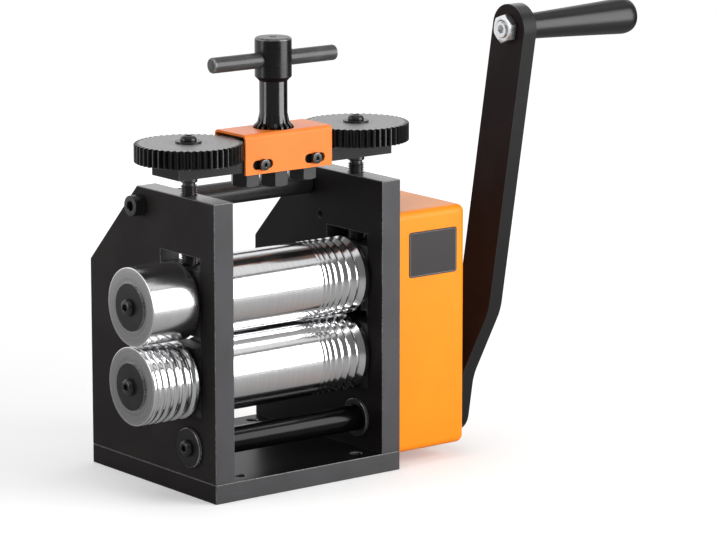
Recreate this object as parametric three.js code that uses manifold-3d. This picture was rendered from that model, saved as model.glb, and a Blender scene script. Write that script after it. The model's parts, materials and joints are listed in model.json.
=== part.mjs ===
// Jewellers rolling mill, built as an assembly of separate pieces.
// Millimetres. X runs along the rolls with the side rollers at -X and the crank at +X,
// Y runs from the front of the mill to its back, Z is up, and the origin is the middle
// of the base's underside.

import * as THREE from 'three';
import { mergeVertices } from 'three/addons/utils/BufferGeometryUtils.js';
import Module from 'manifold-3d';

const wasm = await Module();
wasm.setup();

// Frame
const baseThickness = 12;
const frameDepth = 132;
const wallAboveWindow = 35;
const betweenPlates = 112;
const plateThickness = 14;
const rearChamferDepth = 51.5;
const rearChamferDrop = 53;
const benchHole = 7;
const benchHoleInset = 11.5;
const tableHole = 4.5;
const tableHoleDepth = 8;
const tableHoleBehindWindow = 7.5;
const tableHoleAboveWindow = 5.5;

// Rolls
const rollDiameter = 48;
const restGap = 0.5;
const lowerRollHeight = 71.5;
const rollSetback = 35.5;
const rollEndPlay = 0.6;
const journalDiameter = 24;
const shaftDiameter = 20;
const grooveCount = 7;
const smallestGroove = 1.6;
const grooveStep = 0.7;
const grooveLand = 1.1;
const grooveEndLand = 3.4;

// Side rollers on the rolls' left ends
const sideRollerLength = 33.5;
const sideRollerOffset = 2.5;
const halfRoundCount = 6;
const smallestHalfRound = 1.1;
const halfRoundStep = 0.37;
const keeperDiscDiameter = 29;
const keeperDiscThickness = 1.2;

// Bearing blocks and the windows they sit in
const windowWidth = 41;
const blockHeight = 41;
const windowHeadroom = 7.5;

// Lift: two adjusting screws turned through a train of gears
const screwDiameter = 10;
const screwJournalDiameter = 8.5;
const liftTeeth = 50;
const idlerTeeth = 16;
const pinionTeeth = 18;
const liftGearThickness = 11.2;
const barDepth = 28;
const barThickness = 8;
const barOverhang = 17;
const barHeightAboveFrame = 12;
const guardSheet = 1.6;
const guardLength = 65;
const guardSkirt = 1.7;
const guardSlotLength = 15;
const guardSlotHeight = 5.6;
const guardScrewInset = 13;
const idlerBoltHead = 10.5;
const handleBoltHead = 12.5;
const axleBoltFlats = 16;

// T-handle
const headDiameter = 22.6;
const headLength = 26;
const neckDiameter = 17.2;
const neckLength = 25.7;
const pinionShoulder = 1.8;
const pinionTopping = 0.6;
const crossBarDiameter = 9.6;
const crossBarLength = 92;

// Tie bar
const tieBarDiameter = 14;
const tieBarBelowTop = 11.2;
const tieBarAheadOfChamfer = 4.2;

// Crank drive, 16 teeth driving 40
const driveTeeth = 16;
const reductionTeeth = 40;
const driveModule = 1.5;
const driveForward = 10;
const driveShaftDiameter = 16;
const driveGearWidth = 12;
const rollGearTeeth = 12;
const rollGearWidth = 12;
const rollGearReach = 28.3;
const rollGearRoot = 18.9;

// Gear cover
const coverWidth = 53;
const coverDepth = 69;
const coverAboveUpperRoll = 41.6;
const coverBottom = 9.3;
const coverSheet = 1.6;
const coverCorner = 5;
const coverFrontRecess = 1;

// Crank
const crankLean = THREE.MathUtils.degToRad(10.2);
const crankRadius = 245;
const armWidth = 30;
const armThickness = 10;
const armOffset = 15.5;
const armBendStart = 22;
const armBendEnd = 64;
const armCoverGap = 1.5;
const armBelowShaft = 5;
const gripLength = 87;
const gripStartDiameter = 15.5;
const gripEndDiameter = 22.5;
const gripCrownLength = 7;
const gripShoulderLength = 3;

// Fits and fineness
const running = 0.3;
const seat = 0.3;
const rollSegments = 20;
const turnedSegments = 20;
const screwSegments = 12;

// Places that follow from the sizes above
const frameFront = -frameDepth / 2;
const frameBack = frameDepth / 2;
const plateInner = betweenPlates / 2;
const plateOuter = plateInner + plateThickness;
const plateMiddle = plateInner + plateThickness / 2;
const rollAxisY = frameFront + rollSetback;
const upperRollHeight = lowerRollHeight + rollDiameter + restGap;
const rollRadius = rollDiameter / 2;
const windowFloor = lowerRollHeight - blockHeight / 2;
const windowTop = upperRollHeight + blockHeight / 2 + windowHeadroom;
const frameHeight = windowTop + wallAboveWindow;
const barBottom = frameHeight + barHeightAboveFrame;
const barTop = barBottom + barThickness;
const gearBottom = barTop + 0.5;
const gearTop = gearBottom + liftGearThickness;
const liftModule = plateMiddle / (pinionTeeth / 2 + idlerTeeth + liftTeeth / 2);
const idlerX = (pinionTeeth + idlerTeeth) / 2 * liftModule;
const driveCentres = (driveTeeth + reductionTeeth) / 2 * driveModule;
const driveShaftY = rollAxisY - driveForward;
const driveShaftZ = lowerRollHeight - Math.sqrt(driveCentres ** 2 - driveForward ** 2);
const coverOuter = plateOuter + coverWidth;
const tieBarY = frameBack - rearChamferDepth - tieBarAheadOfChamfer;
const tieBarHeight = frameHeight - tieBarBelowTop;

// Materials
const blackOxide = new THREE.MeshStandardMaterial({ color: 0x2b2b2d, roughness: 0.45, metalness: 0.6 });
const blackFrame = new THREE.MeshStandardMaterial({ color: 0x323234, roughness: 0.5, metalness: 0.3 });
const polishedSteel = new THREE.MeshStandardMaterial({ color: 0xd6d6d8, roughness: 0.12, metalness: 1 });
const turnedSteel = new THREE.MeshStandardMaterial({ color: 0x9a9a9c, roughness: 0.35, metalness: 1 });
const orangePaint = new THREE.MeshStandardMaterial({ color: 0xff9a20, roughness: 0.35, metalness: 0 });
const castIron = new THREE.MeshStandardMaterial({ color: 0x4a4a4c, roughness: 0.6, metalness: 0.8 });
const zincPlate = new THREE.MeshStandardMaterial({ color: 0xc4c6ca, roughness: 0.25, metalness: 1 });
const blackGrip = new THREE.MeshStandardMaterial({ color: 0x141415, roughness: 0.25, metalness: 0 });

const mill = new THREE.Group();

// A closed solid from a three.js geometry, with shared corners merged
// and the slivers that a pole or a seam leaves taken out.
function solid(geometry) {
  const bare = geometry.index ? geometry.toNonIndexed() : geometry.clone();
  bare.deleteAttribute('normal');
  bare.deleteAttribute('uv');
  const merged = mergeVertices(bare, 1e-4);
  const corners = merged.index.array;
  const kept = [];
  for (let i = 0; i < corners.length; i += 3) {
    const [a, b, c] = [corners[i], corners[i + 1], corners[i + 2]];
    if (a !== b && b !== c && c !== a) kept.push(a, b, c);
  }
  const vertProperties = new Float32Array(merged.attributes.position.array);
  const triVerts = new Uint32Array(kept);
  return new wasm.Manifold(new wasm.Mesh({ numProp: 3, vertProperties, triVerts }));
}

function addPiece(name, shape, material, parent = mill) {
  const mesh = shape.getMesh();
  const geometry = new THREE.BufferGeometry();
  geometry.setAttribute('position', new THREE.BufferAttribute(new Float32Array(mesh.vertProperties), 3));
  geometry.setIndex(new THREE.BufferAttribute(new Uint32Array(mesh.triVerts), 1));
  geometry.computeVertexNormals();
  const piece = new THREE.Mesh(geometry, material);
  piece.name = name;
  parent.add(piece);
  return piece;
}

// Cyclic changes of axes, which turn a shape without mirroring it
const lengthToX = new THREE.Matrix4().set(0, 0, 1, 0, 1, 0, 0, 0, 0, 1, 0, 0, 0, 0, 0, 1);
const heightToX = new THREE.Matrix4().set(0, 1, 0, 0, 0, 0, 1, 0, 1, 0, 0, 0, 0, 0, 0, 1);
const heightToZ = new THREE.Matrix4().set(0, 0, 1, 0, 1, 0, 0, 0, 0, 1, 0, 0, 0, 0, 0, 1);

function block(x0, x1, y0, y1, z0, z1) {
  const geometry = new THREE.BoxGeometry(x1 - x0, y1 - y0, z1 - z0);
  geometry.translate((x0 + x1) / 2, (y0 + y1) / 2, (z0 + z1) / 2);
  return solid(geometry);
}

// A flat outline in Y and Z, given as a Shape, carried along X
function alongX(shape, x0, length) {
  const geometry = new THREE.ExtrudeGeometry(shape, { depth: length, bevelEnabled: false, curveSegments: 6 });
  geometry.applyMatrix4(lengthToX);
  geometry.translate(x0, 0, 0);
  return solid(geometry);
}

// A flat outline in X and Y carried up Z
function alongZ(shape, z0, height) {
  const geometry = new THREE.ExtrudeGeometry(shape, { depth: height, bevelEnabled: false, curveSegments: 6 });
  geometry.translate(0, 0, z0);
  return solid(geometry);
}

// Turned pieces: the profile is a list of [radius, place along the axis],
// from one end to the other, starting and ending on the axis.
function turnedX(profile, y, z, segments = turnedSegments) {
  const points = profile.map(([radius, along]) => new THREE.Vector2(radius, along));
  const geometry = new THREE.LatheGeometry(points, segments);
  geometry.applyMatrix4(heightToX);
  geometry.translate(0, y, z);
  return solid(geometry);
}

function turnedZ(profile, x, y, segments = turnedSegments) {
  const points = profile.map(([radius, along]) => new THREE.Vector2(radius, along));
  const geometry = new THREE.LatheGeometry(points, segments);
  geometry.applyMatrix4(heightToZ);
  geometry.translate(x, y, 0);
  return solid(geometry);
}

function rodX(radius, x0, x1, y, z, segments = turnedSegments) {
  return turnedX([[0, x0], [radius, x0], [radius, x1], [0, x1]], y, z, segments);
}

function rodZ(radius, z0, z1, x, y, segments = turnedSegments) {
  return turnedZ([[0, z0], [radius, z0], [radius, z1], [0, z1]], x, y, segments);
}

function rodY(radius, y0, y1, x, z, segments = screwSegments) {
  const geometry = new THREE.CylinderGeometry(radius, radius, y1 - y0, segments);
  geometry.translate(x, (y0 + y1) / 2, z);
  return solid(geometry);
}

function outline(points) {
  return new THREE.Shape(points.map(([a, b]) => new THREE.Vector2(a, b)));
}

function hexagon(flats, centreA = 0, centreB = 0, turn = 0) {
  const corner = flats / Math.sqrt(3);
  const points = [];
  for (let i = 0; i < 6; i += 1) {
    const angle = turn + i * Math.PI / 3;
    points.push([centreA + corner * Math.cos(angle), centreB + corner * Math.sin(angle)]);
  }
  return outline(points);
}

// Outline of a spur gear. Flanks follow the involute above the base circle
// and run straight to the centre below it; slack thins each tooth on its pitch circle.
function gearOutline({ teeth, module, tip, root, slack, turn = 0, flankSteps = 1 }) {
  const count = Math.max(6, Math.round(teeth));
  const pitchRadius = teeth * module / 2;
  const pressure = THREE.MathUtils.degToRad(20);
  const baseRadius = pitchRadius * Math.cos(pressure);
  const involute = (angle) => Math.tan(angle) - angle;
  const halfAngle = (radius) => {
    const rolled = Math.acos(Math.min(1, baseRadius / Math.max(radius, baseRadius)));
    return Math.PI / (2 * count) - slack / (2 * pitchRadius) + involute(pressure) - involute(rolled);
  };
  const flank = [root];
  for (let i = 1; i < flankSteps; i += 1) flank.push(root + (tip - root) * i / flankSteps);
  flank.push(tip);
  const points = [];
  for (let i = 0; i < count; i += 1) {
    const middle = turn + i * 2 * Math.PI / count;
    for (const radius of flank) {
      const angle = middle - halfAngle(radius);
      points.push([radius * Math.cos(angle), radius * Math.sin(angle)]);
    }
    for (const radius of [...flank].reverse()) {
      const angle = middle + halfAngle(radius);
      points.push([radius * Math.cos(angle), radius * Math.sin(angle)]);
    }
  }
  return outline(points);
}

// The turn that brings gear B into mesh with gear A, whose teeth stand at turnA;
// direction is the angle from A's centre to B's.
function meshedTurn(turnA, teethA, teethB, direction) {
  const phase = (direction - turnA) * teethA / (2 * Math.PI);
  return direction + Math.PI - 2 * Math.PI / teethB * (0.5 - phase);
}

function punched(shape, radius, segments = 16) {
  const hole = new THREE.Path();
  hole.absarc(0, 0, radius, 0, 2 * Math.PI, true);
  shape.holes.push(new THREE.Path(hole.getPoints(segments).slice(0, -1)));
  return shape;
}

// Button-head screw along X; the head lies on the side that facing points to
function buttonScrewX(size, x, y, z, facing) {
  const { headDiameter: head, headHeight, shankDiameter, shankLength, flats } = size;
  const crown = head * 0.3;
  const profile = [
    [0, -shankLength],
    [shankDiameter / 2, -shankLength],
    [shankDiameter / 2, 0],
    [head / 2, 0],
    [head / 2, headHeight * 0.3],
    [crown, headHeight],
    [0, headHeight],
  ];
  let screw = turnedX(profile, 0, 0, screwSegments);
  screw = screw.subtract(alongX(hexagon(flats), headHeight * 0.35, headHeight));
  if (facing < 0) screw = screw.rotate([0, 180, 0]);
  return screw.translate([x, y, z]);
}

function capScrewX(size, x, y, z, facing) {
  const { headDiameter: head, headHeight, shankDiameter, shankLength, flats } = size;
  const profile = [
    [0, -shankLength],
    [shankDiameter / 2, -shankLength],
    [shankDiameter / 2, 0],
    [head / 2, 0],
    [head / 2, headHeight],
    [0, headHeight],
  ];
  let screw = turnedX(profile, 0, 0, screwSegments);
  screw = screw.subtract(alongX(hexagon(flats), headHeight * 0.5, headHeight));
  if (facing < 0) screw = screw.rotate([0, 180, 0]);
  return screw.translate([x, y, z]);
}

const m8Cap = { headDiameter: 13, headHeight: 8, shankDiameter: 8, shankLength: 30, flats: 6 };
const m6Button = { headDiameter: 10.5, headHeight: 3.3, shankDiameter: 6, shankLength: 14, flats: 4 };
const m4LowCap = { headDiameter: 7, headHeight: 2.8, shankDiameter: 4, shankLength: 8, flats: 2.5 };
const m10Cap = { headDiameter: 16, headHeight: 8, shankDiameter: 10, flats: 8 };

// Base screws hold each side plate down from below
const baseScrewShank = 6;
const baseScrewHead = 12;
const baseScrewLength = 30;
const baseScrewSunk = 0.4;
const baseScrewInset = 8.5;
const baseScrewY = frameDepth / 2 - baseScrewInset;
const baseScrewPlaces = [
  [-plateMiddle, -baseScrewY],
  [-plateMiddle, baseScrewY],
  [plateMiddle, -baseScrewY],
  [plateMiddle, baseScrewY],
];

function countersunkProfile(gap, bottom, top) {
  const shank = baseScrewShank / 2 + gap;
  const head = baseScrewHead / 2 + gap;
  return [[0, bottom], [head, bottom], [shank, bottom + head - shank], [shank, top], [0, top]];
}

function basePlate() {
  let plate = block(-plateOuter, plateOuter, frameFront, frameBack, 0, baseThickness);
  const holeX = plateInner - benchHoleInset;
  const holeY = frameDepth / 2 - benchHoleInset;
  for (const x of [-holeX, holeX]) {
    for (const y of [-holeY, holeY]) {
      plate = plate.subtract(rodZ(benchHole / 2, -1, baseThickness + 1, x, y, 16));
    }
  }
  for (const [x, y] of baseScrewPlaces) {
    const hole = countersunkProfile(seat, baseScrewSunk, baseThickness + 1);
    plate = plate.subtract(turnedZ(hole, x, y, screwSegments));
    plate = plate.subtract(rodZ(baseScrewHead / 2 + seat, -1, baseScrewSunk, x, y, screwSegments));
  }
  return plate;
}

// Gear cover screws stand near the cover's rear corners, the upper one in line with the table hole
const coverFront = frameFront + coverFrontRecess;
const coverBack = coverFront + coverDepth;
const coverTop = upperRollHeight + coverAboveUpperRoll;
const coverScrewInset = 7.5;
const tableHoleY = rollAxisY + windowWidth / 2 + tableHoleBehindWindow;
const tableHoleZ = windowTop + tableHoleAboveWindow;
const coverScrewPlaces = [
  [tableHoleY, tableHoleZ],
  [coverBack - coverScrewInset, coverBottom + coverScrewInset],
];
const coverScrewShank = 6;
const coverScrewDepth = 10;

const bushBarrel = 20;
const bushFlange = 24;
const bushFlangeThickness = 2;

function sidePlate(side) {
  const x0 = side < 0 ? -plateOuter : plateInner;
  const shape = outline([
    [frameFront, baseThickness],
    [frameBack, baseThickness],
    [frameBack, frameHeight - rearChamferDrop],
    [frameBack - rearChamferDepth, frameHeight],
    [frameFront, frameHeight],
  ]);
  let plate = alongX(shape, x0, plateThickness);
  const [start, end] = [x0 - 1, x0 + plateThickness + 1];
  const front = rollAxisY - windowWidth / 2;
  const back = rollAxisY + windowWidth / 2;
  plate = plate.subtract(block(start, end, front, back, windowFloor, windowTop));
  const screwHole = screwDiameter / 2 + running;
  plate = plate.subtract(rodZ(screwHole, windowTop - 1, frameHeight + 1, side * plateMiddle, rollAxisY, 16));
  plate = plate.subtract(rodX(m8Cap.shankDiameter / 2 + seat, start, end, tieBarY, tieBarHeight, 16));
  plate = plate.subtract(rodX(bushBarrel / 2 + seat, start, end, driveShaftY, driveShaftZ));
  const mouth = side * (plateInner - 1);
  const bottom = side * (plateInner + tableHoleDepth);
  const [holeStart, holeEnd] = [Math.min(mouth, bottom), Math.max(mouth, bottom)];
  plate = plate.subtract(rodX(tableHole / 2, holeStart, holeEnd, tableHoleY, tableHoleZ, 12));
  const baseScrewHole = baseScrewShank / 2 + seat;
  for (const [x, y] of baseScrewPlaces.filter(([place]) => place * side > 0)) {
    plate = plate.subtract(rodZ(baseScrewHole, baseThickness - 1, baseScrewLength + 1, x, y, screwSegments));
  }
  if (side > 0) {
    const coverScrewHole = coverScrewShank / 2 + seat;
    const depth = coverScrewDepth + 1;
    for (const [y, z] of coverScrewPlaces) {
      plate = plate.subtract(rodX(coverScrewHole, plateOuter - depth, plateOuter + 1, y, z, screwSegments));
    }
  }
  return plate;
}

function tieBar() {
  const depth = m8Cap.shankLength - plateThickness + 1;
  const tapped = m8Cap.shankDiameter / 2 + seat;
  let bar = rodX(tieBarDiameter / 2, -plateInner, plateInner, tieBarY, tieBarHeight);
  for (const side of [-1, 1]) {
    const mouth = side * (plateInner + 1);
    const bottom = side * (plateInner - depth);
    const [start, end] = [Math.min(mouth, bottom), Math.max(mouth, bottom)];
    bar = bar.subtract(rodX(tapped, start, end, tieBarY, tieBarHeight, 16));
  }
  return bar;
}

// Foot of the adjusting screw, held in the T-slot of the upper bearing block
const footDiameter = 12;
const footHeight = 3.2;
const footNeck = 7;
const slotLip = 2.4;
const upperBlockTop = upperRollHeight + blockHeight / 2;
const footTop = upperBlockTop - slotLip - running;

function bearingBlock(side, axisHeight) {
  const x0 = side < 0 ? -plateOuter : plateInner;
  const x1 = x0 + plateThickness;
  const front = rollAxisY - windowWidth / 2 + running;
  const back = rollAxisY + windowWidth / 2 - running;
  return block(x0, x1, front, back, axisHeight - blockHeight / 2, axisHeight + blockHeight / 2)
    .subtract(rodX(journalDiameter / 2 + running, x0 - 1, x1 + 1, rollAxisY, axisHeight));
}

function upperBearingBlock(side) {
  const x0 = side < 0 ? -plateOuter : plateInner;
  const x1 = x0 + plateThickness;
  const neck = footNeck / 2 + running;
  const foot = footDiameter / 2 + running;
  const slotFloor = footTop - footHeight - running;
  return bearingBlock(side, upperRollHeight)
    .subtract(block(x0 - 1, x1 + 1, rollAxisY - neck, rollAxisY + neck, footTop, upperBlockTop + 1))
    .subtract(block(x0 - 1, x1 + 1, rollAxisY - foot, rollAxisY + foot, slotFloor, footTop + running));
}

// Roll with square-wire grooves cut at its right end
function grooveProfile(endX) {
  const points = [];
  let x = endX - grooveEndLand;
  for (let i = grooveCount - 1; i >= 0; i -= 1) {
    const width = smallestGroove + grooveStep * i;
    points.unshift([rollRadius, x - width], [rollRadius - width / 2, x - width / 2], [rollRadius, x]);
    x -= width + grooveLand;
  }
  return points;
}

const rollEnd = plateInner - rollEndPlay;
const journalEnd = plateOuter + sideRollerOffset - seat;
const sideRollerStart = -plateOuter - sideRollerOffset;
const sideRollerEnd = sideRollerStart - sideRollerLength;
const shaftLeftEnd = sideRollerEnd + 0.5;
const rollGearStart = plateOuter + sideRollerOffset + 0.5;
const rollGearEnd = rollGearStart + rollGearWidth;
const reductionStart = rollGearEnd + 2;
const reductionEnd = reductionStart + driveGearWidth;

function roll(axisHeight, shaftRightEnd) {
  const tapped = m6Button.shankDiameter / 2 + seat;
  const shaft = shaftDiameter / 2;
  const journal = journalDiameter / 2;
  const profile = [
    [0, shaftLeftEnd],
    [shaft, shaftLeftEnd],
    [shaft, -journalEnd],
    [journal, -journalEnd],
    [journal, -rollEnd],
    [rollRadius, -rollEnd],
    ...grooveProfile(rollEnd),
    [rollRadius, rollEnd],
    [journal, rollEnd],
    [journal, journalEnd],
    [shaft, journalEnd],
    [shaft, shaftRightEnd],
    [0, shaftRightEnd],
  ];
  const tapEnd = shaftLeftEnd + m6Button.shankLength;
  return turnedX(profile, rollAxisY, axisHeight, rollSegments)
    .subtract(rodX(tapped, shaftLeftEnd - 1, tapEnd, rollAxisY, axisHeight, screwSegments));
}

function sideRoller(axisHeight, grooved) {
  const profile = [[0, sideRollerEnd], [rollRadius, sideRollerEnd]];
  if (grooved) {
    let widths = 0;
    for (let i = 0; i < halfRoundCount; i += 1) widths += 2 * (smallestHalfRound + halfRoundStep * i);
    const land = (sideRollerLength - widths) / (halfRoundCount + 1);
    let x = sideRollerEnd + land;
    for (let i = 0; i < halfRoundCount; i += 1) {
      const radius = smallestHalfRound + halfRoundStep * i;
      for (const angle of [0, 90, 180]) {
        const turn = THREE.MathUtils.degToRad(angle);
        profile.push([rollRadius - radius * Math.sin(turn), x + radius - radius * Math.cos(turn)]);
      }
      x += 2 * radius + land;
    }
  }
  profile.push([rollRadius, sideRollerStart], [0, sideRollerStart]);
  const bore = shaftDiameter / 2 + seat;
  return turnedX(profile, rollAxisY, axisHeight, rollSegments)
    .subtract(rodX(bore, sideRollerEnd - 1, sideRollerStart + 1, rollAxisY, axisHeight));
}

function keeperDisc(axisHeight) {
  const hole = m6Button.shankDiameter / 2 + seat;
  const outer = sideRollerEnd - keeperDiscThickness;
  return rodX(keeperDiscDiameter / 2, outer, sideRollerEnd, rollAxisY, axisHeight)
    .subtract(rodX(hole, outer - 1, sideRollerEnd + 1, rollAxisY, axisHeight, screwSegments));
}

// Roll gears have long teeth, so that they stay in mesh as the upper roll rises
const rollGearModule = (rollDiameter + restGap) / rollGearTeeth;
const rollGearSlack = 0.9;
const lowerRollGearTurn = Math.PI / 2;
const upperRollGearTurn = meshedTurn(lowerRollGearTurn, rollGearTeeth, rollGearTeeth, Math.PI / 2);

function rollGear(axisHeight, turn) {
  const shape = gearOutline({
    teeth: rollGearTeeth,
    module: rollGearModule,
    tip: rollGearReach,
    root: rollGearRoot,
    slack: rollGearSlack,
    turn,
    flankSteps: 2,
  });
  return alongX(punched(shape, shaftDiameter / 2 + seat, turnedSegments), rollGearStart, rollGearWidth)
    .translate([0, rollAxisY, axisHeight]);
}

const driveDirection = Math.atan2(lowerRollHeight - driveShaftZ, rollAxisY - driveShaftY);
const driveSlack = 0.25;
const driveTurn = driveDirection;
const reductionTurn = meshedTurn(driveTurn, driveTeeth, reductionTeeth, driveDirection);

function driveGear(teeth, turn, bore, start, width) {
  const pitchRadius = teeth * driveModule / 2;
  const shape = gearOutline({
    teeth,
    module: driveModule,
    tip: pitchRadius + driveModule,
    root: pitchRadius - driveModule * 1.25,
    slack: driveSlack,
    turn,
  });
  return alongX(punched(shape, bore, turnedSegments), start, width);
}

// The arm's inner face at the hub, and the same face above the bend
const hubInner = coverOuter + armCoverGap;
const hubOuter = hubInner + armThickness;
const armInner = hubInner + armOffset;
const armOuter = armInner + armThickness;
const washerGap = 0.4;
const shaftWasherThickness = 2;
const shaftWasherDiameter = 24.5;
const squareEnd = 12;
const shaftLeft = -plateOuter - 0.2;

function driveShaft() {
  const radius = driveShaftDiameter / 2;
  const half = squareEnd / 2;
  const square = block(hubInner - seat - 1, hubOuter - seat, -half, half, -half, half);
  const tapped = m6Button.shankDiameter / 2 + seat;
  const depth = m6Button.shankLength;
  return rodX(radius, shaftLeft, hubInner - seat, 0, 0)
    .add(square)
    .subtract(rodX(tapped, shaftLeft - 1, shaftLeft + depth, 0, 0, screwSegments))
    .subtract(rodX(tapped, hubOuter - depth - 2, hubOuter + 1, 0, 0, screwSegments));
}

function shaftBush(side) {
  const inner = side * (plateInner - bushFlangeThickness);
  const face = side * plateInner;
  const outer = side * plateOuter;
  const barrel = rodX(bushBarrel / 2, Math.min(face, outer), Math.max(face, outer), driveShaftY, driveShaftZ);
  const flange = rodX(bushFlange / 2, Math.min(inner, face), Math.max(inner, face), driveShaftY, driveShaftZ);
  const bore = driveShaftDiameter / 2 + running;
  return barrel.add(flange).subtract(rodX(bore, -plateOuter - 1, plateOuter + 1, driveShaftY, driveShaftZ));
}

function coverShell(inset) {
  const radius = Math.max(1, coverCorner - inset);
  const x1 = coverOuter - inset;
  const shape = new THREE.Shape();
  const [y0, y1] = [coverFront + inset + radius, coverBack - inset - radius];
  const [z0, z1] = [coverBottom + inset + radius, coverTop - inset - radius];
  shape.moveTo(y0, z0);
  shape.lineTo(y1, z0);
  shape.lineTo(y1, z1);
  shape.lineTo(y0, z1);
  shape.closePath();
  const start = plateOuter - coverCorner - 2;
  const geometry = new THREE.ExtrudeGeometry(shape, {
    depth: x1 - radius - start,
    bevelEnabled: true,
    bevelSegments: 3,
    bevelSize: radius,
    bevelThickness: radius,
    curveSegments: 3,
  });
  geometry.applyMatrix4(lengthToX);
  geometry.translate(start, 0, 0);
  const reach = 4 * (coverTop + coverDepth);
  const beyond = block(plateOuter - reach, plateOuter - inset, -reach, reach, -reach, reach);
  return solid(geometry).subtract(beyond);
}

function gearCover() {
  const [start, end] = [coverOuter - coverSheet - 1, coverOuter + 1];
  const shaftHole = driveShaftDiameter / 2 + 1.5;
  let cover = coverShell(0)
    .subtract(coverShell(coverSheet))
    .subtract(rodX(shaftHole, start, end, driveShaftY, driveShaftZ));
  for (const [y, z] of coverScrewPlaces) {
    const hole = coverScrewShank / 2 + seat;
    cover = cover.subtract(rodX(hole, start, end, y, z, screwSegments));
  }
  return cover;
}

function coverScrew([y, z]) {
  const screw = { ...m6Button, shankLength: coverWidth + coverScrewDepth };
  return buttonScrewX(screw, coverOuter, y, z, 1);
}

// Lift gear train
const liftSlack = 0.2;
const pinionTurn = 0;
const liftTip = (teeth) => (teeth / 2 + 1) * liftModule;
const liftRoot = (teeth) => (teeth / 2 - 1.25) * liftModule;

function liftGearShape(teeth, turn) {
  return gearOutline({
    teeth,
    module: liftModule,
    tip: liftTip(teeth),
    root: liftRoot(teeth),
    slack: liftSlack,
    turn,
  });
}

function idlerTurn(side) {
  return meshedTurn(pinionTurn, pinionTeeth, idlerTeeth, side > 0 ? 0 : Math.PI);
}

function idler(side) {
  const shape = punched(liftGearShape(idlerTeeth, idlerTurn(side)), axleBoltShank / 2 + running);
  return alongZ(shape, gearBottom, liftGearThickness).translate([side * idlerX, rollAxisY, 0]);
}

function adjustingGear(side) {
  const turn = meshedTurn(idlerTurn(side), idlerTeeth, liftTeeth, side > 0 ? 0 : Math.PI);
  const shape = punched(liftGearShape(liftTeeth, turn), screwJournalDiameter / 2 + seat);
  return alongZ(shape, gearBottom, liftGearThickness).translate([side * plateMiddle, rollAxisY, 0]);
}

const axleBoltShank = 10;
const collarDiameter = 10.5;
const collarHeight = 3.8;
const waistDiameter = 7.7;
const waistLength = 1.7;
const gearWasherThickness = 1.2;
const gearWasherDiameter = 16;

function adjustingScrew(side) {
  const foot = footDiameter / 2;
  const neck = footNeck / 2;
  const body = screwDiameter / 2;
  const waist = waistDiameter / 2;
  const collar = collarDiameter / 2;
  const journal = screwJournalDiameter / 2;
  const collarTop = barBottom - running;
  const collarBottom = collarTop - collarHeight;
  const top = gearTop - seat;
  const profile = [
    [0, footTop - footHeight],
    [foot, footTop - footHeight],
    [foot, footTop],
    [neck, footTop],
    [neck, upperBlockTop + running],
    [body, upperBlockTop + running],
    [body, collarBottom - waistLength],
    [waist, collarBottom - waistLength],
    [waist, collarBottom],
    [collar, collarBottom],
    [collar, collarTop],
    [journal, collarTop],
    [journal, top],
    [0, top],
  ];
  const tapped = m6Button.shankDiameter / 2 + seat;
  const x = side * plateMiddle;
  return turnedZ(profile, x, rollAxisY, 16)
    .subtract(rodZ(tapped, top - m6Button.shankLength, top + 1, x, rollAxisY, screwSegments));
}

function gearWasher(side) {
  const x = side * plateMiddle;
  return rodZ(gearWasherDiameter / 2, gearTop, gearTop + gearWasherThickness, x, rollAxisY)
    .subtract(rodZ(m6Button.shankDiameter / 2 + seat, gearTop - 1, gearTop + 3, x, rollAxisY, screwSegments));
}

function gearScrew(side) {
  return buttonScrewX(m6Button, 0, 0, 0, 1)
    .rotate([0, -90, 0])
    .translate([side * plateMiddle, rollAxisY, gearTop + gearWasherThickness]);
}

const guardScrewHeight = (barBottom + barTop) / 2;
const guardScrewSpacing = guardLength - 2 * guardScrewInset;

function bridgeBar() {
  const half = plateMiddle + barOverhang;
  const [front, back] = [rollAxisY - barDepth / 2, rollAxisY + barDepth / 2];
  let bar = block(-half, half, front, back, barBottom, barTop);
  for (const x of [-idlerX, 0, idlerX]) {
    bar = bar.subtract(rodZ(axleBoltShank / 2 + running, barBottom - 1, barTop + 1, x, rollAxisY, 16));
  }
  for (const x of [-plateMiddle, plateMiddle]) {
    const journalHole = screwJournalDiameter / 2 + running;
    bar = bar.subtract(rodZ(journalHole, barBottom - 1, barTop + 1, x, rollAxisY, 16));
  }
  for (const x of [-guardScrewSpacing / 2, guardScrewSpacing / 2]) {
    const hole = m4LowCap.shankDiameter / 2 + seat;
    const depth = m4LowCap.shankLength - guardSheet;
    bar = bar.subtract(rodY(hole, front - 1, front + depth, x, guardScrewHeight));
    bar = bar.subtract(rodY(hole, back - depth, back + 1, x, guardScrewHeight));
  }
  return bar;
}

const guardInnerTop = gearTop + 1.6;
const guardTop = guardInnerTop + guardSheet;
const guardInnerHalf = barDepth / 2 + seat;
const guardOuterHalf = guardInnerHalf + guardSheet;
const guardBend = 3;
const pinionHole = liftTip(pinionTeeth) - pinionTopping + 0.5;

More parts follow.
